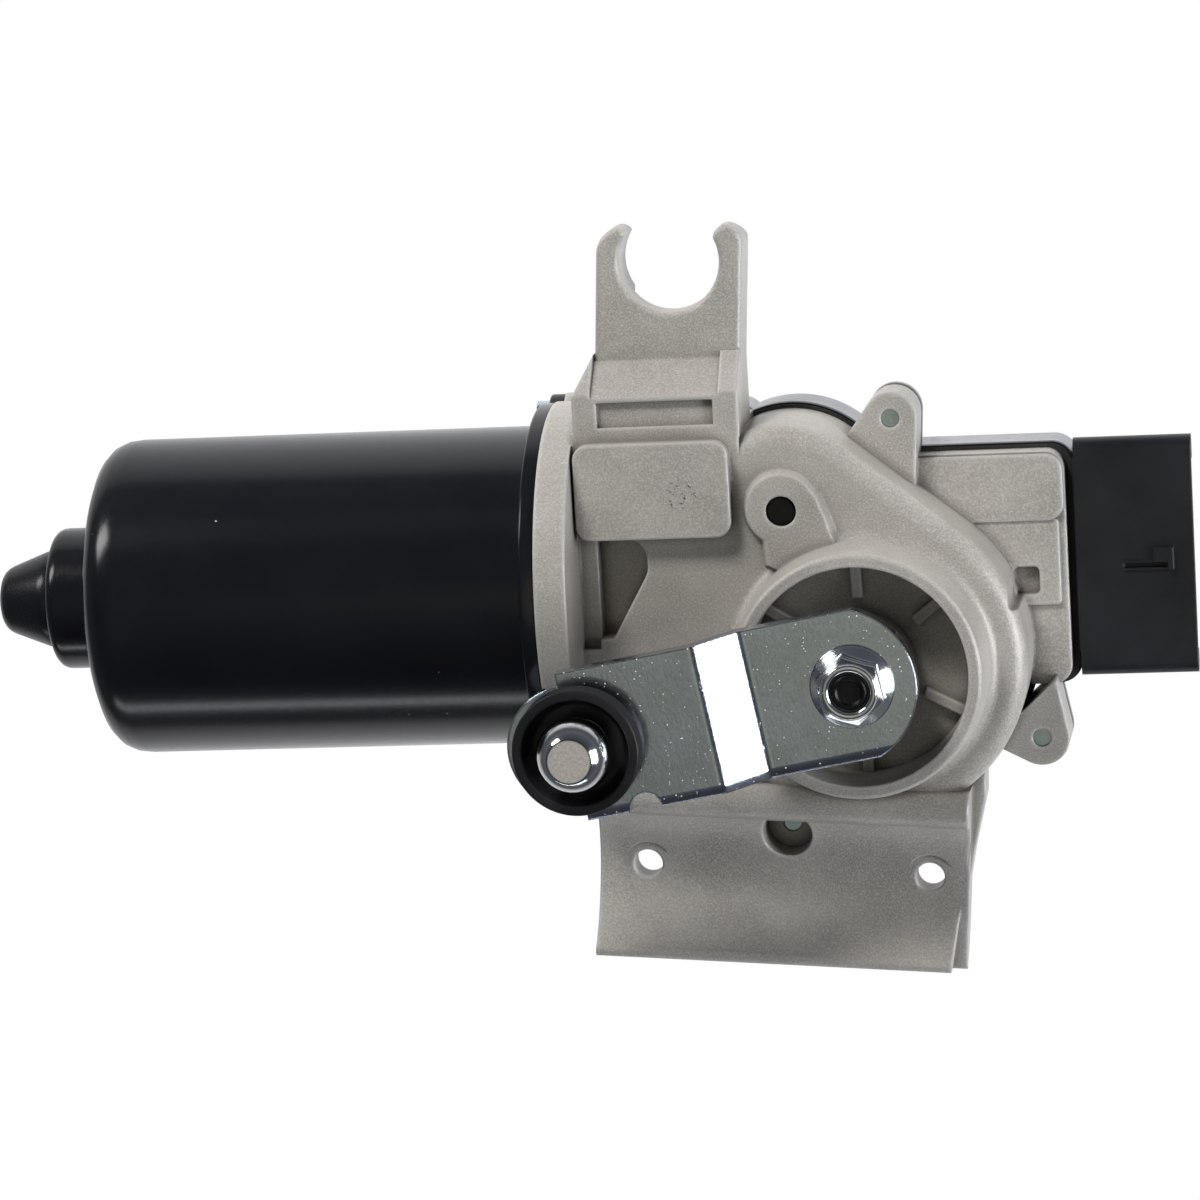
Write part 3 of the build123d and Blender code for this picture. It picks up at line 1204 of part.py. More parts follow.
def build_all():
    """Every piece by its node name."""
    pieces = {
        "gear_housing": build_gear_housing,
        "housing_gasket": build_housing_gasket,
        "connector_frame": build_connector_frame,
        "connector_terminals": build_connector_terminals,
        "gear_cover": build_gear_cover,
        "cover_screws": build_cover_screws,
        "control_board": build_control_board,
        "board_screws": build_board_screws,
        "power_relay": build_power_relay,
        "board_capacitor": build_board_capacitor,
        "power_transistors": build_power_transistors,
        "position_sensor": build_position_sensor,
        "motor_leads": build_motor_leads,
        "motor_can": build_motor_can,
        "can_screws": build_can_screws,
        "rear_cap": build_rear_cap,
        "rear_bushing": build_rear_bushing,
        "bushing_cup": build_bushing_cup,
        "thrust_pad": build_thrust_pad,
        "armature_shaft": build_armature_shaft,
        "armature_core": build_armature_core,
        "armature_windings": build_armature_windings,
        "commutator": build_commutator,
        "brush_card": build_brush_card,
        "brush_holders": build_brush_holders,
        "brushes": build_brushes,
        "brush_springs": build_brush_springs,
        "choke_coils": build_choke_coils,
        "suppression_capacitor": build_suppression_capacitor,
        "bearing_outer": build_bearing_outer,
        "bearing_inner": build_bearing_inner,
        "bearing_balls": build_bearing_balls,
        "bearing_retainer": build_bearing_retainer,
        "tail_bushing": build_tail_bushing,
        "idler_pin": build_idler_pin,
        "idler_clip": build_idler_clip,
        "idler_gear": build_idler_gear,
        "output_gear": build_output_gear,
        "output_shaft": build_output_shaft,
        "output_bushing": build_output_bushing,
        "shaft_seal": build_shaft_seal,
        "shaft_washer": build_shaft_washer,
        "shaft_clip": build_shaft_clip,
        "sensor_magnet": build_sensor_magnet,
        "crank_arm": build_crank_arm,
        "crank_nut": build_crank_nut,
        "ball_stud": build_ball_stud,
        "dust_boot": build_dust_boot,
    }
    for index in range(4):
        pieces[f"magnet_{index + 1}"] = lambda index=index: build_magnet(index)
    return pieces


os.makedirs("parts", exist_ok=True)
for name, make in build_all().items():
    piece = make()
    piece.label = name
    export_step(piece, f"parts/{name}.step")
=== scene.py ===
"""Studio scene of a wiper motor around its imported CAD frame, in metres.

The output shaft is the Z axis, the motor axis runs along X and the crank side is +Z. The motor can, the
rear cap, the ball stud, the dust cup and the crank nut are worked out here as surfaces. Every other node
keeps its CAD mesh and gets the finish of its material slot.
"""

import json
import logging
import math
from dataclasses import dataclass
from enum import Enum
from typing import Optional, Union

import bpy
import numpy as np
from mathutils import Matrix, Vector


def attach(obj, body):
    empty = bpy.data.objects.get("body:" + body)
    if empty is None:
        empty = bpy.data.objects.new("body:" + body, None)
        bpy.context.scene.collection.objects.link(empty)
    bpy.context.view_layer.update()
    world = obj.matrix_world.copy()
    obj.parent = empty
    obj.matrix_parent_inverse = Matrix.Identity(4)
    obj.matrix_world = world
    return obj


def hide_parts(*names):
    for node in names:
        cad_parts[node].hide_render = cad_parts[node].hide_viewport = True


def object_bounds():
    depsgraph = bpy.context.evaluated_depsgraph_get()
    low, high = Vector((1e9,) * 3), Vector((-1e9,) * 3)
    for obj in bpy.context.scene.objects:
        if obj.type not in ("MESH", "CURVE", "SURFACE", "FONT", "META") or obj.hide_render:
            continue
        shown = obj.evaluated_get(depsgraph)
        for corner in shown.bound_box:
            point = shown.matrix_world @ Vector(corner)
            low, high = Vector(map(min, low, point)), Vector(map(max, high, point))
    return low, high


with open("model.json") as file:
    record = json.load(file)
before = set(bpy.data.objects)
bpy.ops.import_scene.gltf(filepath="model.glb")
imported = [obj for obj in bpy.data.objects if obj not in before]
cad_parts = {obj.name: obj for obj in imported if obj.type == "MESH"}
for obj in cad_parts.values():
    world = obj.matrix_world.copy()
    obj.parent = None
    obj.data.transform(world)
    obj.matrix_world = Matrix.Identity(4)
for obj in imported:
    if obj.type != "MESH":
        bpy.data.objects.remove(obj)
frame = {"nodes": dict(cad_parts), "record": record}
CAD_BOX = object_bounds()

log = logging.getLogger("wiper_motor")
MM = 0.001
RGBA = tuple[float, float, float, float]
Triple = tuple[float, float, float]
Pair = tuple[float, float]
Socket = bpy.types.NodeSocket
# Nodes whose finish differs from that of their slot
OWN_FINISH = {"crank_arm": "crank_zinc"}
UNIT = (0.0, 1.0)
# Rays for the rounding of an edge and for the openness of a spot
EDGE_RAYS = 6
OPEN_RAYS = 8
# Range that holds most values of a fractal noise
MIDDLE = (0.35, 0.65)
# Radius of the ring around the closed end of a piece, in mm
POLE = 0.3
# Largest share of a side that the curve at one of its corners may take
MOST_SHARE = 0.48
# Lengths under this one count as none, in mm
TINY = 1e-6
# Edges sharper than this stay sharp under smooth shading
SHARP_DEG = 32.0
UPRIGHT = Matrix.Identity(4)


class Body(Enum):
    """Rigid bodies of the frame that the new pieces ride on."""

    HOUSING = "housing"
    OUTPUT = "output"


class Combine(Enum):
    """Ways to combine two values of a material."""

    PRODUCT = "MULTIPLY"
    LARGER = "MAXIMUM"
    SUM = "ADD"


class Ease(Enum):
    """Ways to pass from one end of a range to the other."""

    STRAIGHT = "LINEAR"
    SMOOTH = "SMOOTHSTEP"


def rgba(red: float, green: float, blue: float) -> RGBA:
    """Opaque colour."""
    return (red, green, blue, 1.0)


class NodeGraph:
    """A small builder for one procedural material."""

    def __init__(self, name: str) -> None:
        """Start an empty material.

        Args:
            name: Name of the material.
        """
        self.material = bpy.data.materials.new(name)
        self.material.use_nodes = True
        self.tree = self.material.node_tree
        self.shader = self.tree.nodes["Principled BSDF"]
        self.coords = self.tree.nodes.new("ShaderNodeTexCoord").outputs["Object"]

    def link(self, source: Socket, target: Socket) -> None:
        """Link two sockets."""
        self.tree.links.new(source, target)

    def feed(self, node: bpy.types.Node, **inputs: object) -> None:
        """Set or link inputs of a node.

        Args:
            node: Node to feed.
            inputs: Values or sockets by input name; a space in a name is written as an underscore.
        """
        for key, value in inputs.items():
            socket = node.inputs[key.replace("_", " ")]
            if isinstance(value, Socket):
                self.link(value, socket)
            else:
                socket.default_value = value

    def add(self, kind: str, settings: Optional[dict] = None, **inputs: object) -> bpy.types.Node:
        """Add a node.

        Args:
            kind: Node type name.
            settings: Attributes set on the node.
            inputs: Values or sockets by input name, as for feed.

        Returns:
            The new node.
        """
        node = self.tree.nodes.new(kind)
        for key, value in (settings or {}).items():
            setattr(node, key, value)
        self.feed(node, **inputs)
        return node

    def noise(self, per_m: float, detail: float = 4.0, roughness: float = 0.55,
              stretch: Triple = (1.0, 1.0, 1.0)) -> Socket:
        """Fractal noise on object coordinates.

        Args:
            per_m: Cells per metre.
            detail: Octaves.
            roughness: Share of the finer octaves.
            stretch: Scale along each axis before the noise.

        Returns:
            The noise value.
        """
        place = self.add("ShaderNodeMapping", Vector=self.coords, Scale=stretch)
        node = self.add("ShaderNodeTexNoise", Vector=place.outputs["Vector"], Scale=per_m, Detail=detail,
                        Roughness=roughness)
        return node.outputs["Fac"]

    def cells(self, per_m: float) -> Socket:
        """Distance to the nearest point of a random scatter of that many per metre, in cells."""
        return self.add("ShaderNodeTexVoronoi", Vector=self.coords, Scale=per_m).outputs["Distance"]

    def span(self, value: Socket, source: Pair, result: Pair = UNIT, ease: Ease = Ease.STRAIGHT) -> Socket:
        """Map a value from one range to another, clamped.

        Args:
            value: Input value.
            source: Lowest and highest input.
            result: Output at the lowest and at the highest input.
            ease: Passage between the two.

        Returns:
            The mapped value.
        """
        node = self.add("ShaderNodeMapRange", {"interpolation_type": ease.value})
        self.link(value, node.inputs["Value"])
        for index, number in enumerate((*source, *result), start=1):
            node.inputs[index].default_value = number
        return node.outputs["Result"]

    def blend(self, factor: Socket, first: Union[RGBA, Socket], second: Union[RGBA, Socket]) -> Socket:
        """Blend two colours.

        Args:
            factor: Zero for the first colour, one for the second.
            first: First colour.
            second: Second colour.

        Returns:
            The blended colour.
        """
        node = self.add("ShaderNodeMix", {"data_type": "RGBA"})
        factor_input, first_input, second_input = node.inputs[0], node.inputs[6], node.inputs[7]
        self.link(factor, factor_input)
        for socket, colour in ((first_input, first), (second_input, second)):
            if isinstance(colour, Socket):
                self.link(colour, socket)
            else:
                socket.default_value = colour
        return node.outputs[2]

    def combine(self, how: Combine, first: Socket, second: Socket) -> Socket:
        """Combine two values.

        Args:
            how: Way to combine them.
            first: First value.
            second: Second value.

        Returns:
            The result.
        """
        node = self.add("ShaderNodeMath", {"operation": how.value})
        self.link(first, node.inputs[0])
        self.link(second, node.inputs[1])
        return node.outputs[0]

    def near(self, centre: Triple, full: float, none: float) -> Socket:
        """Nearness to a point.

        Args:
            centre: The point in metres.
            full: Distance up to which the result is one.
            none: Distance from which the result is zero.

        Returns:
            The nearness.
        """
        node = self.add("ShaderNodeVectorMath", {"operation": "DISTANCE"})
        self.link(self.coords, node.inputs[0])
        node.inputs[1].default_value = centre
        return self.span(node.outputs["Value"], (full, none), (1.0, 0.0))

    def across(self, direction: Triple) -> Socket:
        """Position along a direction.

        Args:
            direction: Unit vector.

        Returns:
            The position in metres.
        """
        node = self.add("ShaderNodeVectorMath", {"operation": "DOT_PRODUCT"})
        self.link(self.coords, node.inputs[0])
        node.inputs[1].default_value = direction
        return node.outputs["Value"]

    def occlusion(self, reach: float, inside: bool) -> Socket:
        """Openness around a point, low in corners, or low along outer edges when measured inside."""
        node = self.add("ShaderNodeAmbientOcclusion", {"inside": inside, "samples": OPEN_RAYS}, Distance=reach)
        return node.outputs["AO"]

    def specks(self, per_m: float, size: float, share: float) -> Socket:
        """Sparse round flecks: the cells' distance cut off at a size, times a noise cut off at a share.

        Args:
            per_m: Cells per metre.
            size: Radius of a fleck in cells.
            share: How far the patches with flecks spread.

        Returns:
            One inside a fleck, zero outside.
        """
        dot = self.span(self.cells(per_m), (size * 0.6, size), (1.0, 0.0))
        patch = self.span(self.noise(per_m * 0.7, 2.0, 0.7), (0.60 - share, 0.63 - share))
        return self.combine(Combine.PRODUCT, dot, patch)

    def soft_edge(self, radius: float) -> Socket:
        """Normal that rounds the edges of a piece by a radius in metres."""
        node = self.add("ShaderNodeBevel", {"samples": EDGE_RAYS}, Radius=radius)
        return node.outputs["Normal"]

    def bump(self, height: Socket, strength: float, distance: float, below: Socket) -> Socket:
        """A bump normal from a height.

        Args:
            height: Height value.
            strength: Share of the bump.
            distance: Height in metres at value one.
            below: Normal of the coarser shape underneath.

        Returns:
            The normal.
        """
        node = self.add("ShaderNodeBump", Height=height, Strength=strength, Distance=distance, Normal=below)
        return node.outputs["Normal"]


class Finish:
    """A surface finish that builds its own material."""

    def dress(self, g: NodeGraph) -> None:
        """Feed the shader of a material.

        Args:
            g: Graph of the material.
        """
        raise NotImplementedError

    def material(self, name: str) -> bpy.types.Material:
        """Build the material.

        Args:
            name: Name of the material.

        Returns:
            The finished material.
        """
        g = NodeGraph(name)
        self.dress(g)
        return g.material


@dataclass(frozen=True)
class CastAluminium(Finish):
    """Sand blasted die casting: fine grain, soft mottling, painted edge highlights and corner shade, and a few
    pits.
    """

    base: RGBA = rgba(0.45, 0.425, 0.388)
    shade: RGBA = rgba(0.36, 0.338, 0.306)
    bright: RGBA = rgba(0.72, 0.705, 0.69)
    crease_shade: RGBA = rgba(0.13, 0.118, 0.104)
    pit: RGBA = rgba(0.10, 0.095, 0.09)
    metallic: float = 0.35
    roughness: Pair = (0.38, 0.55)
    mottle_per_m: float = 60.0
    mottle: Pair = (0.36, 0.66)
    grain_per_m: float = 2400.0
    grain_peaks: Pair = (0.42, 0.72)
    grain_share: float = 0.55
    grain_bump: float = 0.55
    grain_depth: float = 0.00016
    wave_per_m: float = 260.0
    wave_bump: float = 0.3
    wave_depth: float = 0.0005
    edge: float = 0.0009
    # Painted edge highlight and painted corner shade: reach, openness range and share of each
    edge_highlight_reach: float = 0.0011
    edge_highlight_open: Pair = (0.55, 0.95)
    edge_highlight_share: float = 0.50
    crease_shade_reach: float = 0.0034
    crease_shade_open: Pair = (0.30, 0.88)
    crease_shade_share: float = 0.90
    pit_centre: Triple = (-0.0365, 0.0385, 0.0035)
    pit_reach: float = 0.0042
    pit_per_m: float = 1100.0
    pit_lows: Pair = (0.36, 0.42)

    def dress(self, g: NodeGraph) -> None:
        """Feed the shader of a material.

        Args:
            g: Graph of the material.
        """
        grain = g.noise(self.grain_per_m, 2.0, 0.65)
        mottle = g.span(g.noise(self.mottle_per_m, 6.0, 0.6), self.mottle)
        colour = g.blend(mottle, self.shade, self.base)
        colour = g.blend(g.span(grain, self.grain_peaks, (0.0, self.grain_share)), colour, self.bright)
        # Painted highlight: outer edges lightened towards the bright colour where the inside openness is low
        wear_and_edge_highlight = g.span(g.occlusion(self.edge_highlight_reach, True), self.edge_highlight_open, (self.edge_highlight_share, 0.0))
        colour = g.blend(wear_and_edge_highlight, colour, self.bright)
        # Painted shade: inner corners darkened where the openness around a spot is low
        corner = g.span(g.occlusion(self.crease_shade_reach, False), self.crease_shade_open, (self.crease_shade_share, 0.0))
        colour = g.blend(corner, colour, self.crease_shade)
        wave = g.bump(g.noise(self.wave_per_m, 3.0), self.wave_bump, self.wave_depth, g.soft_edge(self.edge))
        g.feed(g.shader, Base_Color=g.blend(self.pits(g), colour, self.pit), Metallic=self.metallic,
               Roughness=g.span(grain, (0.3, 0.7), self.roughness),
               Normal=g.bump(grain, self.grain_bump, self.grain_depth, wave))

    def pits(self, g: NodeGraph) -> Socket:
        """Small pits near one spot of the pad, where a fine noise is low.

        Args:
            g: Graph of the material.

        Returns:
            One inside a pit, zero outside.
        """
        holes = g.span(g.noise(self.pit_per_m, 3.0, 0.7), self.pit_lows, (1.0, 0.0))
        spot = g.near(self.pit_centre, self.pit_reach * 0.6, self.pit_reach)
        return g.combine(Combine.PRODUCT, spot, holes)


@dataclass(frozen=True)
class Plated(Finish):
    """Plated or plain metal with soft edges and, where asked, marks, a rolled side and a worn face."""

    base: RGBA = rgba(0.70, 0.71, 0.70)
    shade: RGBA = rgba(0.60, 0.62, 0.60)
    roughness: Pair = (0.16, 0.26)
    metallic: float = 1.0
    cloud_per_m: float = 120.0
    speckle_per_m: float = 1500.0
    speckle_bump: float = 0.45
    dent: float = 0.00003
    edge: float = 0.0004
    flecks: float = 0.0
    fleck_per_m: float = 900.0
    fleck_size: float = 0.19
    scratch_per_m: float = 420.0
    scratch_peaks: Pair = (0.645, 0.70)
    scratch_share: float = 0.7
    mark: RGBA = rgba(0.94, 0.97, 1.0)
    dull: float = 0.35
    roll_towards: Triple = (0.0, 0.0, 0.0)
    roll_at: Pair = (0.0, 0.0)
    roll_depth: float = 0.0006
    scuff_at: Triple = (0.0, 0.0, 0.0)
    scuff_reach: float = 0.0
    scuff_per_m: float = 1500.0
    scuff_roughness: float = 0.5
    scuff_colours: tuple[RGBA, RGBA] = (rgba(0.43, 0.395, 0.35), rgba(0.54, 0.505, 0.46))

    def dress(self, g: NodeGraph) -> None:
        """Feed the shader of a material.

        Args:
            g: Graph of the material.
        """
        speckle = g.noise(self.speckle_per_m, 3.0, 0.75, (1.0, 0.45, 1.0))
        colour = g.blend(g.span(g.noise(self.cloud_per_m), MIDDLE), self.shade, self.base)
        height, metallic = speckle, self.metallic
        rough = g.span(speckle, MIDDLE, self.roughness)
        if self.flecks:
            marks = self.marks(g)
            colour = g.blend(marks, colour, self.mark)
            metallic = g.span(marks, UNIT, (self.metallic, self.dull))
            height = g.combine(Combine.SUM, speckle, marks)
        if self.scuff_reach:
            wear_and_edge_highlight = g.near(self.scuff_at, self.scuff_reach * 0.93, self.scuff_reach)
            blotch = g.span(g.noise(self.scuff_per_m, 4.0, 0.75), (0.42, 0.56))
            colour = g.blend(wear_and_edge_highlight, colour, g.blend(blotch, *self.scuff_colours))
            metallic = g.span(wear_and_edge_highlight, UNIT, (self.metallic, self.dull))
            rough = g.span(wear_and_edge_highlight, UNIT, (self.roughness[0], self.scuff_roughness))
        g.feed(g.shader, Base_Color=colour, Roughness=rough, Metallic=metallic,
               Normal=g.bump(height, self.speckle_bump, self.dent, self.rounding(g)))

    def marks(self, g: NodeGraph) -> Socket:
        """Scratches, where a noise stretched along Y is high, and flecks.

        Args:
            g: Graph of the material.

        Returns:
            One on a mark, zero beside it.
        """
        streaks = g.noise(self.scratch_per_m, 4.0, 0.8, (3.5, 0.5, 1.0))
        scratch = g.span(streaks, self.scratch_peaks, (0.0, self.scratch_share))
        return g.combine(Combine.LARGER, scratch, g.specks(self.fleck_per_m, self.fleck_size, self.flecks))

    def rounding(self, g: NodeGraph) -> Socket:
        """Normal with soft edges and, where asked, a surface that sinks smoothly along one direction.

        Args:
            g: Graph of the material.

        Returns:
            The normal.
        """
        edges = g.soft_edge(self.edge)
        if not any(self.roll_towards):
            return edges
        roll = g.span(g.across(self.roll_towards), self.roll_at, (1.0, 0.0), Ease.SMOOTH)
        return g.bump(roll, 1.0, self.roll_depth, edges)


@dataclass(frozen=True)
class Lacquer(Finish):
    """Glossy paint or moulding with a slight orange peel and dust."""

    base: RGBA = rgba(0.0045, 0.005, 0.007)
    tint: RGBA = rgba(0.0065, 0.007, 0.009)
    dust: RGBA = rgba(0.45, 0.46, 0.48)
    roughness: Pair = (0.17, 0.24)
    cloud_per_m: float = 45.0
    haze_per_m: float = 1800.0
    dust_per_m: float = 170.0
    dust_size: float = 0.04
    dust_share: float = 0.02
    peel_per_m: float = 700.0
    peel_bump: float = 0.08
    peel_depth: float = 0.00008
    edge: float = 0.0004

    def dress(self, g: NodeGraph) -> None:
        """Feed the shader of a material.

        Args:
            g: Graph of the material.
        """
        colour = g.blend(g.span(g.noise(self.cloud_per_m, 3.0), MIDDLE), self.base, self.tint)
        dust = g.specks(self.dust_per_m, self.dust_size, self.dust_share)
        peel = g.noise(self.peel_per_m, 2.0)
        g.feed(g.shader, Base_Color=g.blend(dust, colour, self.dust),
               Roughness=g.span(g.noise(self.haze_per_m, 3.0), (0.4, 0.7), self.roughness),
               Normal=g.bump(peel, self.peel_bump, self.peel_depth, g.soft_edge(self.edge)))


@dataclass(frozen=True)
class Grained(Finish):
    """Moulded plastic, rubber or ceramic with a fine surface grain."""

    base: RGBA = rgba(0.02, 0.02, 0.021)
    tint: RGBA = rgba(0.032, 0.032, 0.034)
    roughness: Pair = (0.42, 0.58)
    metallic: float = 0.0
    cloud_per_m: float = 70.0
    grain_per_m: float = 2200.0
    grain_bump: float = 0.3
    depth: float = 0.00008
    edge: float = 0.0005

    def dress(self, g: NodeGraph) -> None:
        """Feed the shader of a material.

        Args:
            g: Graph of the material.
        """
        grain = g.noise(self.grain_per_m, 3.0, 0.65)
        g.feed(g.shader, Metallic=self.metallic,
               Base_Color=g.blend(g.span(g.noise(self.cloud_per_m), MIDDLE), self.base, self.tint),
               Roughness=g.span(grain, MIDDLE, self.roughness),
               Normal=g.bump(grain, self.grain_bump, self.depth, g.soft_edge(self.edge)))


@dataclass(frozen=True)
class Lamp:
    """Soft rectangular lamp, shown by shiny surfaces only if mirrored; metres and watts."""

    name: str
    place: Triple
    size: Pair
    power: float
    colour: Triple = (1.0, 1.0, 1.0)
    mirrored: bool = True
    target: Triple = (-0.05, 0.01, -0.01)

    def build(self) -> None:
        """Add the lamp, facing its target."""
        data = bpy.data.lights.new(self.name, "AREA")
        data.shape = "RECTANGLE"
        data.size, data.size_y = self.size
        data.energy = self.power
        data.color = self.colour
        obj = bpy.data.objects.new(self.name, data)
        obj.visible_glossy = self.mirrored
        bpy.context.scene.collection.objects.link(obj)
        turn = (Vector(self.target) - Vector(self.place)).to_track_quat("-Z", "Y")
        obj.matrix_world = Matrix.Translation(self.place) @ turn.to_matrix().to_4x4()


@dataclass(frozen=True)
class Studio:
    """Camera of the reference view, soft lamps, a pale floor and dim surroundings."""

    eye_mm: Triple = (116.26, 209.37, 1006.76)
    forward: Triple = (-0.16551, -0.18624, -0.96847)
    up: Triple = (0.02937, 0.98064, -0.19360)
    lens_mm: float = 145.6
    sensor_mm: float = 36.0
    clip: Pair = (0.05, 20.0)
    lamps: tuple[Lamp, ...] = (
        Lamp("key", (-0.40, 1.05, 0.60), (0.3, 0.3), 16.5, (1.0, 0.98, 0.945), mirrored=False),
        Lamp("fill", (0.9, -0.7, 0.55), (0.3, 0.3), 6.5, (0.93, 0.96, 1.0), mirrored=False),
        Lamp("right", (0.95, -0.02, 0.36), (0.6, 0.45), 7.5, (0.95, 0.97, 1.0)),
        Lamp("left", (-0.85, 0.75, 0.45), (0.4, 0.3), 3.0),
        Lamp("low", (-0.15, -1.0, 0.16), (1.2, 0.12), 1.2, (0.93, 0.96, 1.0)))
    floor_gap: float = 0.0005
    floor_half: float = 4.0
    paper: RGBA = rgba(0.86, 0.86, 0.86)
    paper_roughness: float = 0.9
    white: RGBA = rgba(1.0, 1.0, 1.0)
    pool_centre: Pair = (-0.05, 0.01)
    pool_near: float = 0.07
    pool_far: float = 0.38
    pool_bright: RGBA = rgba(0.97, 0.98, 1.0)
    pool_dim: RGBA = rgba(0.09, 0.095, 0.105)
    nadir: RGBA = rgba(0.12, 0.125, 0.14)
    zenith: RGBA = rgba(0.40, 0.385, 0.30)
    sky: tuple[tuple[float, RGBA], ...] = (
        (0.25, rgba(0.075, 0.08, 0.095)), (0.60, rgba(0.03, 0.033, 0.045)), (0.74, rgba(0.045, 0.043, 0.045)),
        (0.94, rgba(0.075, 0.088, 0.10)), (0.982, rgba(0.38, 0.367, 0.288)))

    def camera(self) -> None:
        """Place the camera at the reference viewpoint."""
        data = bpy.data.cameras.new("camera")
        data.lens = self.lens_mm
        data.sensor_width = self.sensor_mm
        data.sensor_fit = "HORIZONTAL"
        data.clip_start, data.clip_end = self.clip
        cam = bpy.data.objects.new("camera", data)
        bpy.context.scene.collection.objects.link(cam)
        back = -Vector(self.forward).normalized()
        right = Vector(self.up).cross(back).normalized()
        turn = Matrix((right, back.cross(right), back)).transposed().to_4x4()
        cam.matrix_world = Matrix.Translation(Vector(self.eye_mm) * MM) @ turn
        bpy.context.scene.camera = cam

    def floor(self) -> None:
        """Pale floor that the camera sees as white, and shiny surfaces as bright near by and dim far off."""
        level = CAD_BOX[0][2] - self.floor_gap
        side = np.array([-1.0, 1.0]) * self.floor_half
        x, y = np.meshgrid(side, side)
        verts = np.stack([x.ravel(), y.ravel(), np.full(4, level)], axis=1)
        mesh = bpy.data.meshes.new("floor")
        mesh.from_pydata(verts.tolist(), [], [(0, 1, 3, 2)])
        obj = bpy.data.objects.new("floor", mesh)
        bpy.context.scene.collection.objects.link(obj)
        g = NodeGraph("floor_paper")
        g.feed(g.shader, Base_Color=self.paper, Roughness=self.paper_roughness)
        nearness = g.near((*self.pool_centre, level), self.pool_near, self.pool_far)
        pool = g.blend(nearness, self.pool_dim, self.pool_bright)
        mirrored = g.add("ShaderNodeEmission", Color=pool, Strength=1.0)
        seen = g.add("ShaderNodeEmission", Color=self.white, Strength=1.0)
        path = g.add("ShaderNodeLightPath")
        shaders = g.shader.outputs[0]
        for ray, other in (("Is Glossy Ray", mirrored), ("Is Camera Ray", seen)):
            mix = g.add("ShaderNodeMixShader")
            g.link(path.outputs[ray], mix.inputs[0])
            g.link(shaders, mix.inputs[1])
            g.link(other.outputs[0], mix.inputs[2])
            shaders = mix.outputs[0]
        g.feed(g.tree.nodes["Material Output"], Surface=shaders)
        obj.data.materials.append(g.material)

    def world(self) -> None:
        """Dim surroundings by the height of a ray, with a warm patch overhead; the camera sees white."""
        world = bpy.data.worlds.new("surroundings")
        bpy.context.scene.world = world
        world.use_nodes = True
        tree = world.node_tree
        direction = tree.nodes.new("ShaderNodeTexCoord").outputs["Generated"]
        split = tree.nodes.new("ShaderNodeSeparateXYZ")
        tree.links.new(direction, split.inputs[0])
        ramp = tree.nodes.new("ShaderNodeValToRGB")
        ramp.color_ramp.interpolation = "EASE"
        stops = ramp.color_ramp.elements
        stops[0].color, stops[1].color = self.nadir, self.zenith
        for place, colour in self.sky:
            stops.new(place).color = colour
        tree.links.new(split.outputs["Z"], ramp.inputs["Fac"])
        background = tree.nodes["Background"]
        tree.links.new(ramp.outputs["Color"], background.inputs["Color"])
        white = tree.nodes.new("ShaderNodeBackground")
        white.inputs["Color"].default_value = self.white
        path = tree.nodes.new("ShaderNodeLightPath")
        mix = tree.nodes.new("ShaderNodeMixShader")
        tree.links.new(path.outputs["Is Camera Ray"], mix.inputs[0])
        tree.links.new(background.outputs[0], mix.inputs[1])
        tree.links.new(white.outputs[0], mix.inputs[2])
        tree.links.new(mix.outputs[0], tree.nodes["World Output"].inputs["Surface"])

    def build(self) -> None:
        """Set up camera, lamps, floor and surroundings."""
        self.camera()
        for lamp in self.lamps:
            lamp.build()
        self.floor()
        self.world()
        log.info("studio ready")


def eased(points: np.ndarray, reach: np.ndarray, steps: int = 6) -> np.ndarray:
    """Ease the corners of a profile by curves.

    A corner P gets the curve (1 - s)^2 T1 + 2 s (1 - s) P + s^2 T2 for s from 0 to 1, where T1 and T2 lie the
    reach away from P along its two sides.

    Args:
        points: Corners as (corner, ..., 2).
        reach: Reach of every corner, zero for a sharp one.
        steps: Points on each curve.

    Returns:
        The eased profile as (point, ..., 2).
    """
    trailing = (1,) * (points.ndim - 1)
    reach = reach.reshape((-1, *trailing))
    ends = []
    for neighbour in (1, -1):
        side = np.roll(points, neighbour, axis=0) - points
        length = np.maximum(np.linalg.norm(side, axis=-1, keepdims=True), TINY)
        ends.append(points + side * np.minimum(reach / length, MOST_SHARE))
    first, last = ends
    s = np.linspace(0.0, 1.0, steps).reshape((-1, 1, *trailing))
    curve = (1 - s) ** 2 * first + 2 * s * (1 - s) * points + s**2 * last
    curve = np.moveaxis(curve, 0, 1).reshape((-1,) + points.shape[1:])
    step = np.abs(curve - np.roll(curve, 1, axis=0)).reshape(len(curve), -1).max(axis=1)
    return curve[step > TINY]


def side_faces(count: int, around: int, closed: bool) -> np.ndarray:
    """Quads between neighbouring rings, where point j of ring i has the index i * around + j.

    Args:
        count: Number of rings.
        around: Number of points on a ring.
        closed: Joins the last ring to the first.

    Returns:
        Point indices as (face, 4).
    """
    i, j = np.meshgrid(np.arange(count if closed else count - 1), np.arange(around), indexing="ij")
    above, beside = (i + 1) % count, (j + 1) % around
    return np.stack([i * around + j, i * around + beside, above * around + beside, above * around + j],
                    axis=-1).reshape(-1, 4)


def end_faces(count: int, around: int) -> np.ndarray:
    """Triangles from the first and the last ring to two points on the axis, which follow all the others.

    Args:
        count: Number of rings.
        around: Number of points on a ring.

    Returns:
        Point indices as (face, 3).
    """
    ring = np.arange(around)
    beside = (ring + 1) % around
    last_ring, pole = (count - 1) * around, count * around
    first = np.stack([beside, ring, np.full(around, pole)], axis=-1)
    last = np.stack([last_ring + ring, last_ring + beside, np.full(around, pole + 1)], axis=-1)
    return np.concatenate([first, last])


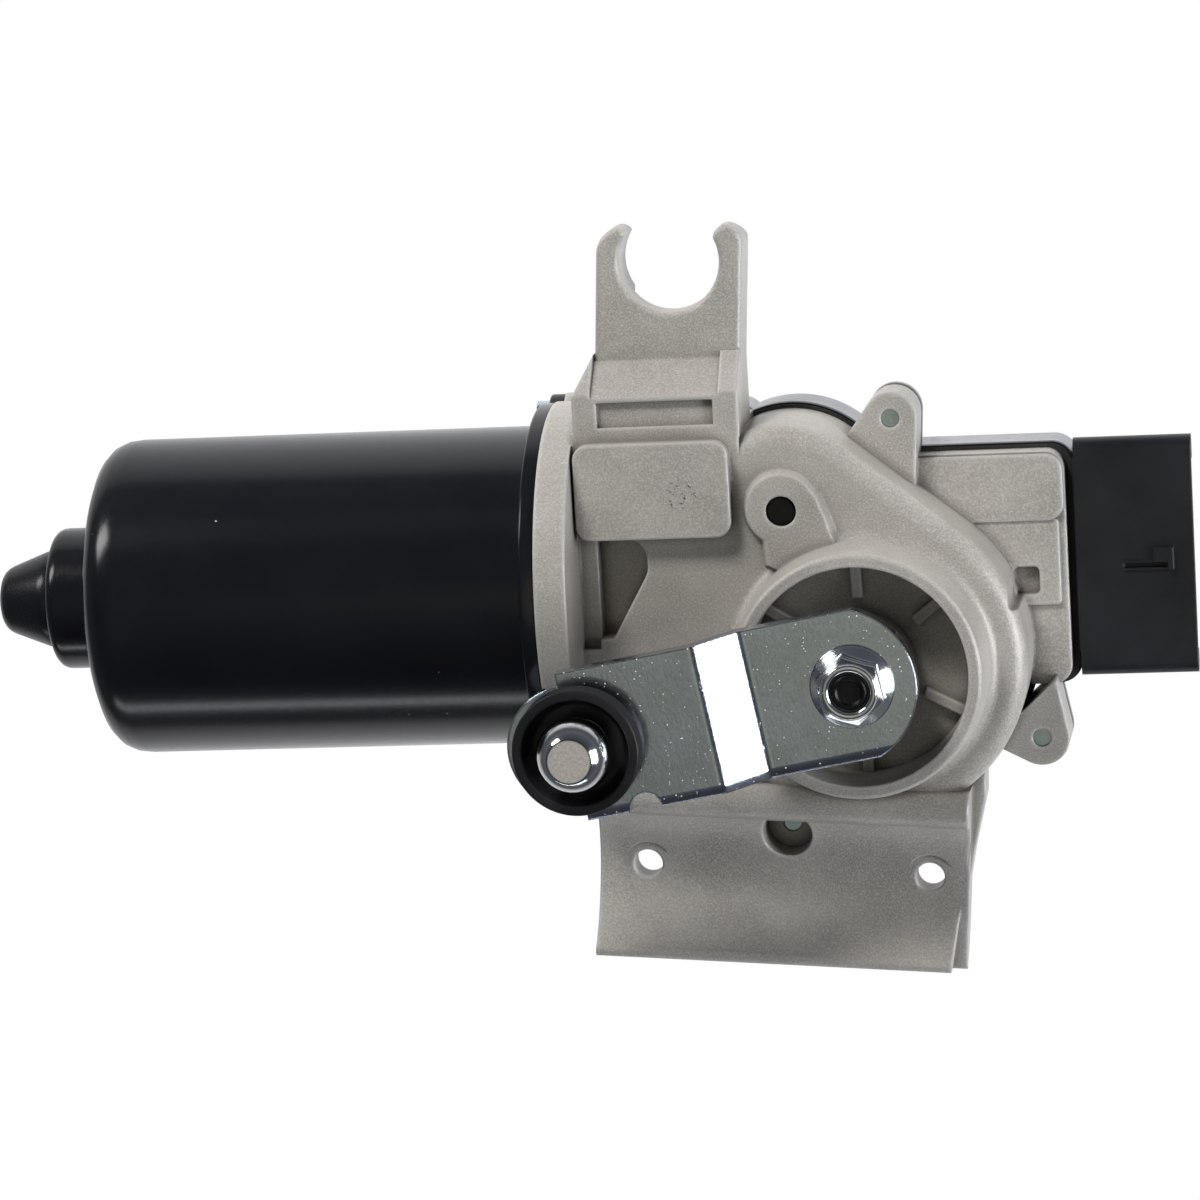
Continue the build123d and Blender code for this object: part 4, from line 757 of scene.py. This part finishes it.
def turned_inward(points: np.ndarray, faces: np.ndarray) -> bool:
    """Whether quads face inward, from the sign of the volume: the sum of p0 . (p1 x p2 + p2 x p3).

    Args:
        points: Points as (point, 3).
        faces: Point indices as (face, 4).

    Returns:
        True where the volume is negative.
    """
    corners = points[faces]
    normals = np.cross(corners[:, 1], corners[:, 2]) + np.cross(corners[:, 2], corners[:, 3])
    return bool(np.einsum("ij,ij->", corners[:, 0], normals) < 0)


def ring_piece(name: str, rings: np.ndarray, place: Matrix, closed: bool,
               material: bpy.types.Material) -> bpy.types.Object:
    """Build a surface of rings around an axis.

    Ring i passes at angle a through place * (r cos a, r sin a, h), where rings[i, a] is (h, r) in mm.

    Args:
        name: Object name.
        rings: Heights and radii as (ring, angle, 2).
        place: Frame whose Z axis is the axis of the rings, in mm.
        closed: Joins the last ring to the first; otherwise each end closes in a point on the axis.
        material: Finish.

    Returns:
        The object, at the origin and unturned.
    """
    count, around = rings.shape[:2]
    angle = np.linspace(0.0, 2 * math.pi, around, endpoint=False)
    height, radius = rings[..., 0], rings[..., 1]
    points = np.stack([radius * np.cos(angle), radius * np.sin(angle), height], axis=-1).reshape(-1, 3)
    faces = side_faces(count, around, closed)
    inward = turned_inward(points, faces)
    polygons = faces.tolist()
    if not closed:
        ends = [[0.0, 0.0, height[0].mean()], [0.0, 0.0, height[-1].mean()]]
        points = np.concatenate([points, ends])
        polygons += end_faces(count, around).tolist()
    points = (points @ np.array(place.to_3x3()).T + np.array(place.translation)) * MM
    mesh = bpy.data.meshes.new(name)
    mesh.from_pydata(points.tolist(), [], polygons)
    if inward:
        mesh.flip_normals()
    mesh.shade_smooth()
    mesh.set_sharp_from_angle(angle=math.radians(SHARP_DEG))
    mesh.materials.append(material)
    obj = bpy.data.objects.new(name, mesh)
    bpy.context.scene.collection.objects.link(obj)
    log.info("%s: %d rings of %d points", name, count, around)
    return obj


def spread(profile: list[Triple], around: int) -> tuple[np.ndarray, np.ndarray]:
    """Give a profile the same shape at every angle.

    Args:
        profile: Corners as (height, radius, reach of the corner's curve), in mm.
        around: Number of angles.

    Returns:
        Corners as (corner, angle, 2) and their reaches.
    """
    table = np.array(profile)
    return np.repeat(table[:, None, :2], around, axis=1), table[:, 2].copy()


def settle(piece: bpy.types.Object, body: Body, slot: str, *nodes: str) -> None:
    """Let a piece ride on a body and stand for its CAD nodes.

    Args:
        piece: The piece.
        body: Body it moves with.
        slot: Material slot that it shows; not used.
        nodes: CAD nodes that it replaces.
    """
    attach(piece, body.value)
    if nodes:
        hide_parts(*nodes)


@dataclass(frozen=True)
class MotorShell:
    """Deep drawn can with its lobed lip, and the rubber cap on its rear boss; lengths in mm."""

    axis_y: float = 15.7
    axis_z: float = -21.0
    radius: float = 34.66
    corner: float = 8.0
    end_x: float = -168.0
    seam_x: float = -66.8
    wall: float = 2.0
    boss_radius: float = 15.6
    boss_round: float = 2.6
    boss_foot: float = 0.7
    boss_x: float = -180.7
    hole: float = 5.0
    lip: float = 3.4
    lip_radius: float = 39.5
    lip_foot: float = 0.5
    lip_back: float = 0.7
    lip_front: float = 0.4
    lobe_radius: float = 4.8
    lobe_at: float = 38.2
    lobe_deg: float = 25.0
    lobe_reach: float = 1.0
    chord: float = 34.7
    burr: float = 0.3
    inner: float = 0.2
    around: int = 240
    cap_tip_x: float = -193.6
    cap_tip_radius: float = 6.6
    cap_tip_round: float = 2.8
    cap_radius: float = 10.8
    cap_round: float = 1.2
    cap_band: float = 2.0
    cap_gap: float = 0.02
    cap_plug: float = 4.95
    cap_around: int = 128

    def place(self) -> Matrix:
        """Frame whose Z axis runs along the motor axis and whose X axis is the Y axis of the part."""
        turn = Matrix(((0, 0, 1, 0), (1, 0, 0, 0), (0, 1, 0, 0), (0, 0, 0, 1)))
        return Matrix.Translation((0.0, self.axis_y, self.axis_z)) @ turn

    def outline(self) -> np.ndarray:
        """Outline of the lip: a circle cut by a chord, with a round lobe at each screw.

        At the angle t from its middle, a lobe of radius q centred at the distance d reaches
        d cos t + sqrt(q^2 - d^2 sin^2 t).

        Returns:
            Radius at every angle.
        """
        angle = np.linspace(0.0, 2 * math.pi, self.around, endpoint=False)
        reach = np.full(self.around, self.lip_radius)
        for centre in (-math.radians(self.lobe_deg), math.pi + math.radians(self.lobe_deg)):
            away = np.angle(np.exp(1j * (angle - centre)))
            inside = self.lobe_radius**2 - (self.lobe_at * np.sin(away)) ** 2
            lobe = self.lobe_at * np.cos(away) + np.sqrt(np.maximum(inside, 0.0))
            reach = np.where((inside > 0) & (np.abs(away) < self.lobe_reach), np.maximum(reach, lobe), reach)
        down = np.maximum(-np.sin(angle), TINY)
        return np.minimum(reach, self.chord / down)

    def can(self, material: bpy.types.Material) -> bpy.types.Object:
        """Build the can with its inside: its profile turned about the axis, its lip following the outline.

        Args:
            material: Finish.

        Returns:
            The can.
        """
        bore, lip_x = self.radius - self.wall, self.seam_x - self.lip
        boss_bore = self.boss_radius - self.wall
        floor_x, back_x = self.end_x + self.wall, self.boss_x + self.wall
        before_lip = [
            (self.boss_x, self.hole, self.burr), (self.boss_x, self.boss_radius, self.boss_round),
            (self.end_x, self.boss_radius, self.boss_foot), (self.end_x, self.radius, self.corner),
            (lip_x, self.radius, self.lip_foot)]
        lip = [(lip_x, self.lip_radius, self.lip_back), (self.seam_x, self.lip_radius, self.lip_front)]
        inside = [
            (self.seam_x, bore, self.burr), (floor_x, bore, self.corner - self.wall),
            (floor_x, boss_bore, self.inner), (back_x, boss_bore, self.inner),
            (back_x, self.hole, self.inner)]
        corners, reach = spread([*before_lip, *lip, *inside], self.around)
        corners[len(before_lip):len(before_lip) + len(lip), :, 1] = self.outline()
        return ring_piece("motor_can_shell", eased(corners, reach), self.place(), True, material)

    def cap(self, material: bpy.types.Material) -> bpy.types.Object:
        """Build the tapered cap: its profile turned about the axis.

        Args:
            material: Finish.

        Returns:
            The cap.
        """
        face_x, plug_x = self.boss_x - self.cap_gap, self.boss_x + self.cap_band
        corners, reach = spread([
            (self.cap_tip_x, POLE, 0.0), (self.cap_tip_x, self.cap_tip_radius, self.cap_tip_round),
            (self.boss_x - self.cap_band, self.cap_radius, self.cap_round),
            (face_x, self.cap_radius, self.burr), (face_x, self.cap_plug, self.inner),
            (plug_x, self.cap_plug, self.inner), (plug_x, POLE, 0.0)],
            self.cap_around)
        return ring_piece("rear_cap_cone", eased(corners, reach), self.place(), False, material)

    def build(self, materials: dict[str, bpy.types.Material]) -> None:
        """Build both pieces and put them in the place of their CAD nodes.

        Args:
            materials: Finishes by name.
        """
        settle(self.can(materials["black_paint"]), Body.HOUSING, "black_paint", "motor_can")
        settle(self.cap(materials["black_gloss"]), Body.HOUSING, "black_gloss", "rear_cap")


@dataclass(frozen=True)
class BallJoint:
    """Ball stud at the crank end and the rubber cup around its foot; lengths in mm."""

    centre: Pair = (-56.9736, -9.7387)
    radius: float = 8.0
    height: float = 37.5
    top: float = 44.0
    top_ease: float = 0.25
    neck: float = 4.4
    seat: float = 28.5
    collar: float = 1.2
    collar_radius: float = 6.4
    shank: float = 5.0
    rivet: float = 6.2
    rivet_z: float = 24.5
    rivet_end: Pair = (23.3, 5.4)
    soft: float = 0.3
    crisp: float = 0.1
    cup_bore: float = 6.45
    cup_foot: float = 12.0
    cup_radius: float = 13.4
    cup_rise: float = 1.6
    cup_height: float = 7.5
    cup_mouth: float = 11.3
    cup_groove: tuple[Pair, Pair] = ((3.0, 10.9), (1.8, 9.6))
    cup_eases: tuple[float, ...] = (0.1, 0.5, 0.9, 0.5, 0.5, 0.8, 0.6, 0.1)
    cup_steps: int = 8
    ball_rings: int = 44
    around: int = 160

    def place(self) -> Matrix:
        """Upright frame at the ball's axis."""
        return Matrix.Translation((*self.centre, 0.0))

    def stud(self, material: bpy.types.Material) -> bpy.types.Object:
        """Build the stud; its ball follows height + R cos t, R sin t from the flat top to the neck.

        Args:
            material: Finish.

        Returns:
            The stud.
        """
        start = math.acos((self.top - self.height) / self.radius)
        t = np.linspace(start, math.pi - math.asin(self.neck / self.radius), self.ball_rings)
        ball = np.stack([self.height + self.radius * np.cos(t), self.radius * np.sin(t), np.zeros_like(t)],
                        axis=-1)
        ball[0, 2] = self.top_ease
        shelf, (end_z, end_radius) = self.seat + self.collar, self.rivet_end
        corners, reach = spread([
            (self.top, POLE, 0.0), *ball.tolist(), (shelf, self.neck, self.soft),
            (shelf, self.collar_radius, self.soft), (self.seat, self.collar_radius, self.crisp),
            (self.seat, self.shank, self.crisp), (self.rivet_z, self.shank, self.crisp),
            (self.rivet_z, self.rivet, self.crisp), (end_z, end_radius, self.soft), (end_z, POLE, 0.0)],
            self.around)
        return ring_piece("ball_stud_turned", eased(corners, reach), self.place(), False, material)

    def boot(self, material: bpy.types.Material) -> bpy.types.Object:
        """Build the cup with its rolled rim and inner groove: its profile turned about the ball's axis.

        Args:
            material: Finish.

        Returns:
            The cup.
        """
        (groove, groove_radius), (floor, floor_radius) = self.cup_groove
        profile = [
            (0.0, self.cup_bore), (0.0, self.cup_foot), (self.cup_rise, self.cup_radius),
            (self.cup_height, self.cup_radius), (self.cup_height, self.cup_mouth), (groove, groove_radius),
            (floor, floor_radius), (floor, self.cup_bore)]
        corners, reach = spread([(self.seat + rise, radius, ease) for (rise, radius), ease
                                 in zip(profile, self.cup_eases)], self.around)
        rings = eased(corners, reach, self.cup_steps)
        return ring_piece("dust_boot_cup", rings, self.place(), True, material)

    def build(self, materials: dict[str, bpy.types.Material]) -> None:
        """Build both pieces and put them in the place of their CAD nodes.

        Args:
            materials: Finishes by name.
        """
        settle(self.stud(materials["ball_steel"]), Body.OUTPUT, "zinc_steel", "ball_stud")
        settle(self.boot(materials["satin_rubber"]), Body.OUTPUT, "black_rubber", "dust_boot")


@dataclass(frozen=True)
class CrankNut:
    """Flanged hexagon nut and the end of the thread inside it; lengths in mm."""

    base: float = 21.3
    height: float = 7.0
    half_flats: float = 6.5
    turn_deg: float = 42.0
    flange: float = 8.9
    flange_edge: float = 1.0
    cone_slope: float = 2.2 / 2.7
    crown: float = 5.95
    crown_drop: float = 0.6
    crown_slope: float = 1 / 1.6
    face: Pair = (5.7, 4.6)
    sink: float = 0.9
    bore: float = 4.0
    around: int = 240
    thread_z: float = 27.93
    thread_radius: float = 3.99
    thread_rim: Pair = (2.9, 3.4)
    thread_chamfer: float = 0.62
    thread_sink: float = 0.48
    thread_pit: float = 2.5
    thread_depth: float = 0.9
    thread_around: int = 96

    def hexagon(self) -> np.ndarray:
        """Outline of the hexagon: half its width over cos of the angle from the middle of a side.

        Returns:
            Radius at every angle.
        """
        angle = np.linspace(0.0, 360.0, self.around, endpoint=False)
        return self.half_flats / np.cos(np.radians((angle - self.turn_deg) % 60.0 - 30.0))

    def nut(self, material: bpy.types.Material) -> bpy.types.Object:
        """Build the nut: the flange's cone meets the sides, whose upper corners are turned off.

        Where the hexagon has the radius s, the cone meets it (flange - s) * cone_slope above the edge of the
        flange, and the turned corner starts (s - crown) * crown_slope below the crown.

        Args:
            material: Finish.

        Returns:
            The nut.
        """
        top, side, edge = self.base + self.height, self.hexagon(), self.base + self.flange_edge
        crown_z, (face, mouth) = top - self.crown_drop, self.face
        flange = [(self.base, self.bore, 0.1), (self.base, self.flange, 0.15), (edge, self.flange, 0.45)]
        # Foot and head of the sides, which follow the hexagon further down
        sides = [(edge, self.half_flats, 0.5), (crown_z, self.half_flats, 0.15)]
        crown = [(crown_z, self.crown, 0.25), (top, face, 0.55), (top, mouth, 0.5),
                 (top - self.sink, self.bore, 0.2)]
        corners, reach = spread([*flange, *sides, *crown], self.around)
        foot, head = len(flange), len(flange) + 1
        corners[foot, :, 0] = edge + (self.flange - side) * self.cone_slope
        corners[head, :, 0] = crown_z - (side - self.crown) * self.crown_slope
        corners[foot:head + 1, :, 1] = side
        return ring_piece("crank_nut_flanged", eased(corners, reach), UPRIGHT, True, material)

    def thread_end(self, material: bpy.types.Material) -> bpy.types.Object:
        """Build the end of the shaft with its chamfer and its sunk middle: its profile turned about the axis.

        Args:
            material: Finish.

        Returns:
            The shaft end.
        """
        z, (rim_in, rim_out) = self.thread_z, self.thread_rim
        sunk, chamfer, end = z - self.thread_sink, z - self.thread_chamfer, z - self.thread_depth
        corners, reach = spread([
            (sunk, POLE, 0.0), (sunk, self.thread_pit, 0.2), (z, rim_in, 0.1), (z, rim_out, 0.15),
            (chamfer, self.thread_radius, 0.1), (end, self.thread_radius, 0.0), (end, POLE, 0.0)],
            self.thread_around)
        return ring_piece("shaft_thread_end", eased(corners, reach), UPRIGHT, False, material)

    def build(self, materials: dict[str, bpy.types.Material]) -> None:
        """Build the nut in the place of its CAD node and the dark end of the thread.

        Args:
            materials: Finishes by name.
        """
        settle(self.nut(materials["polished_steel"]), Body.OUTPUT, "zinc_steel", "crank_nut")
        settle(self.thread_end(materials["dark_steel"]), Body.OUTPUT, "dark_steel")


def metals() -> dict[str, Finish]:
    """Finishes of the metal pieces, by the name of their slot or piece.

    Returns:
        Finishes by name.
    """
    return {
        "cast_aluminium": CastAluminium(),
        "polished_steel": Plated(rgba(0.93, 0.95, 0.95), rgba(0.86, 0.88, 0.88), (0.12, 0.19)),
        "zinc_steel": Plated(rgba(0.62, 0.74, 0.80), rgba(0.46, 0.56, 0.60)),
        "crank_zinc": Plated(rgba(0.62, 0.68, 0.79), rgba(0.56, 0.61, 0.67), (0.13, 0.22), edge=0.0007,
                             flecks=0.10, dent=0.00005, roll_towards=(0.1685, -0.9857, 0.0),
                             roll_at=(0.0138, 0.0170)),
        "ball_steel": Plated(rgba(0.76, 0.77, 0.77), rgba(0.68, 0.69, 0.70), (0.12, 0.20), edge=0.0002,
                             scuff_at=(-0.05697, -0.00974, 0.044), scuff_reach=0.0045),
        "pressed_steel": Plated(rgba(0.44, 0.45, 0.47), rgba(0.36, 0.37, 0.39), (0.30, 0.45), metallic=0.6),
        "bearing_steel": Plated(rgba(0.6, 0.61, 0.62), roughness=(0.12, 0.25)),
        "dark_steel": Plated(rgba(0.05, 0.05, 0.05), rgba(0.03, 0.03, 0.03), (0.25, 0.45)),
        "laminated_steel": Plated(rgba(0.3, 0.3, 0.31), rgba(0.2, 0.2, 0.21), (0.4, 0.55)),
        "bronze": Plated(rgba(0.45, 0.29, 0.12), rgba(0.34, 0.2, 0.08), (0.4, 0.6)),
        "copper": Plated(rgba(0.7, 0.32, 0.17), rgba(0.55, 0.22, 0.12), (0.2, 0.35)),
        "enamelled_copper": Plated(rgba(0.42, 0.13, 0.05), rgba(0.3, 0.08, 0.03), (0.2, 0.3)),
        "brass": Plated(rgba(0.72, 0.52, 0.2), rgba(0.6, 0.42, 0.15), (0.25, 0.4)),
        "tinned": Plated(rgba(0.78, 0.77, 0.74), rgba(0.66, 0.65, 0.62), (0.2, 0.35)),
    }


def coatings() -> dict[str, Finish]:
    """Finishes of painted, rubber, plastic and ceramic pieces, by the name of their slot or piece.

    Returns:
        Finishes by name.
    """
    return {
        "black_paint": Lacquer(),
        "black_gloss": Lacquer(base=rgba(0.010, 0.010, 0.010), roughness=(0.24, 0.32)),
        "black_rubber": Grained(base=rgba(0.018, 0.018, 0.018), roughness=(0.5, 0.7)),
        "satin_rubber": Grained(rgba(0.007, 0.007, 0.008), rgba(0.012, 0.012, 0.014), (0.42, 0.5)),
        "black_plastic": Grained(rgba(0.007, 0.008, 0.010), rgba(0.012, 0.013, 0.016), (0.36, 0.5)),
        "nylon": Grained(rgba(0.72, 0.69, 0.58), rgba(0.78, 0.75, 0.66), (0.35, 0.5)),
        "ferrite": Grained(rgba(0.06, 0.06, 0.065), rgba(0.09, 0.09, 0.095), metallic=0.3),
        "carbon": Grained(rgba(0.03, 0.03, 0.032), rgba(0.05, 0.05, 0.052), metallic=0.4),
        "board_green": Grained(rgba(0.01, 0.09, 0.03), rgba(0.015, 0.12, 0.045), (0.25, 0.35)),
        "phenolic": Grained(rgba(0.16, 0.07, 0.03), rgba(0.22, 0.1, 0.045), (0.35, 0.5)),
    }


def dress_nodes(materials: dict[str, bpy.types.Material]) -> None:
    """Give every CAD node its own finish or that of its slot.

    Args:
        materials: Finishes by name.
    """
    slots = {entry["node"]: entry["material_slot"] for entry in frame["record"]["subparts"]}
    for name, obj in frame["nodes"].items():
        finish = OWN_FINISH.get(name, slots[name])
        obj.data.materials.clear()
        obj.data.materials.append(materials[finish])
        log.info("dressed %s with %s", name, finish)


def main() -> None:
    logging.basicConfig(level=logging.INFO, format="%(name)s: %(message)s")
    bpy.context.scene.view_settings.view_transform = "Standard"
    Studio().build()
    materials = {name: finish.material(name) for name, finish in {**metals(), **coatings()}.items()}
    dress_nodes(materials)
    for assembly in (MotorShell(), BallJoint(), CrankNut()):
        assembly.build(materials)


if __name__ == "__main__":
    main()
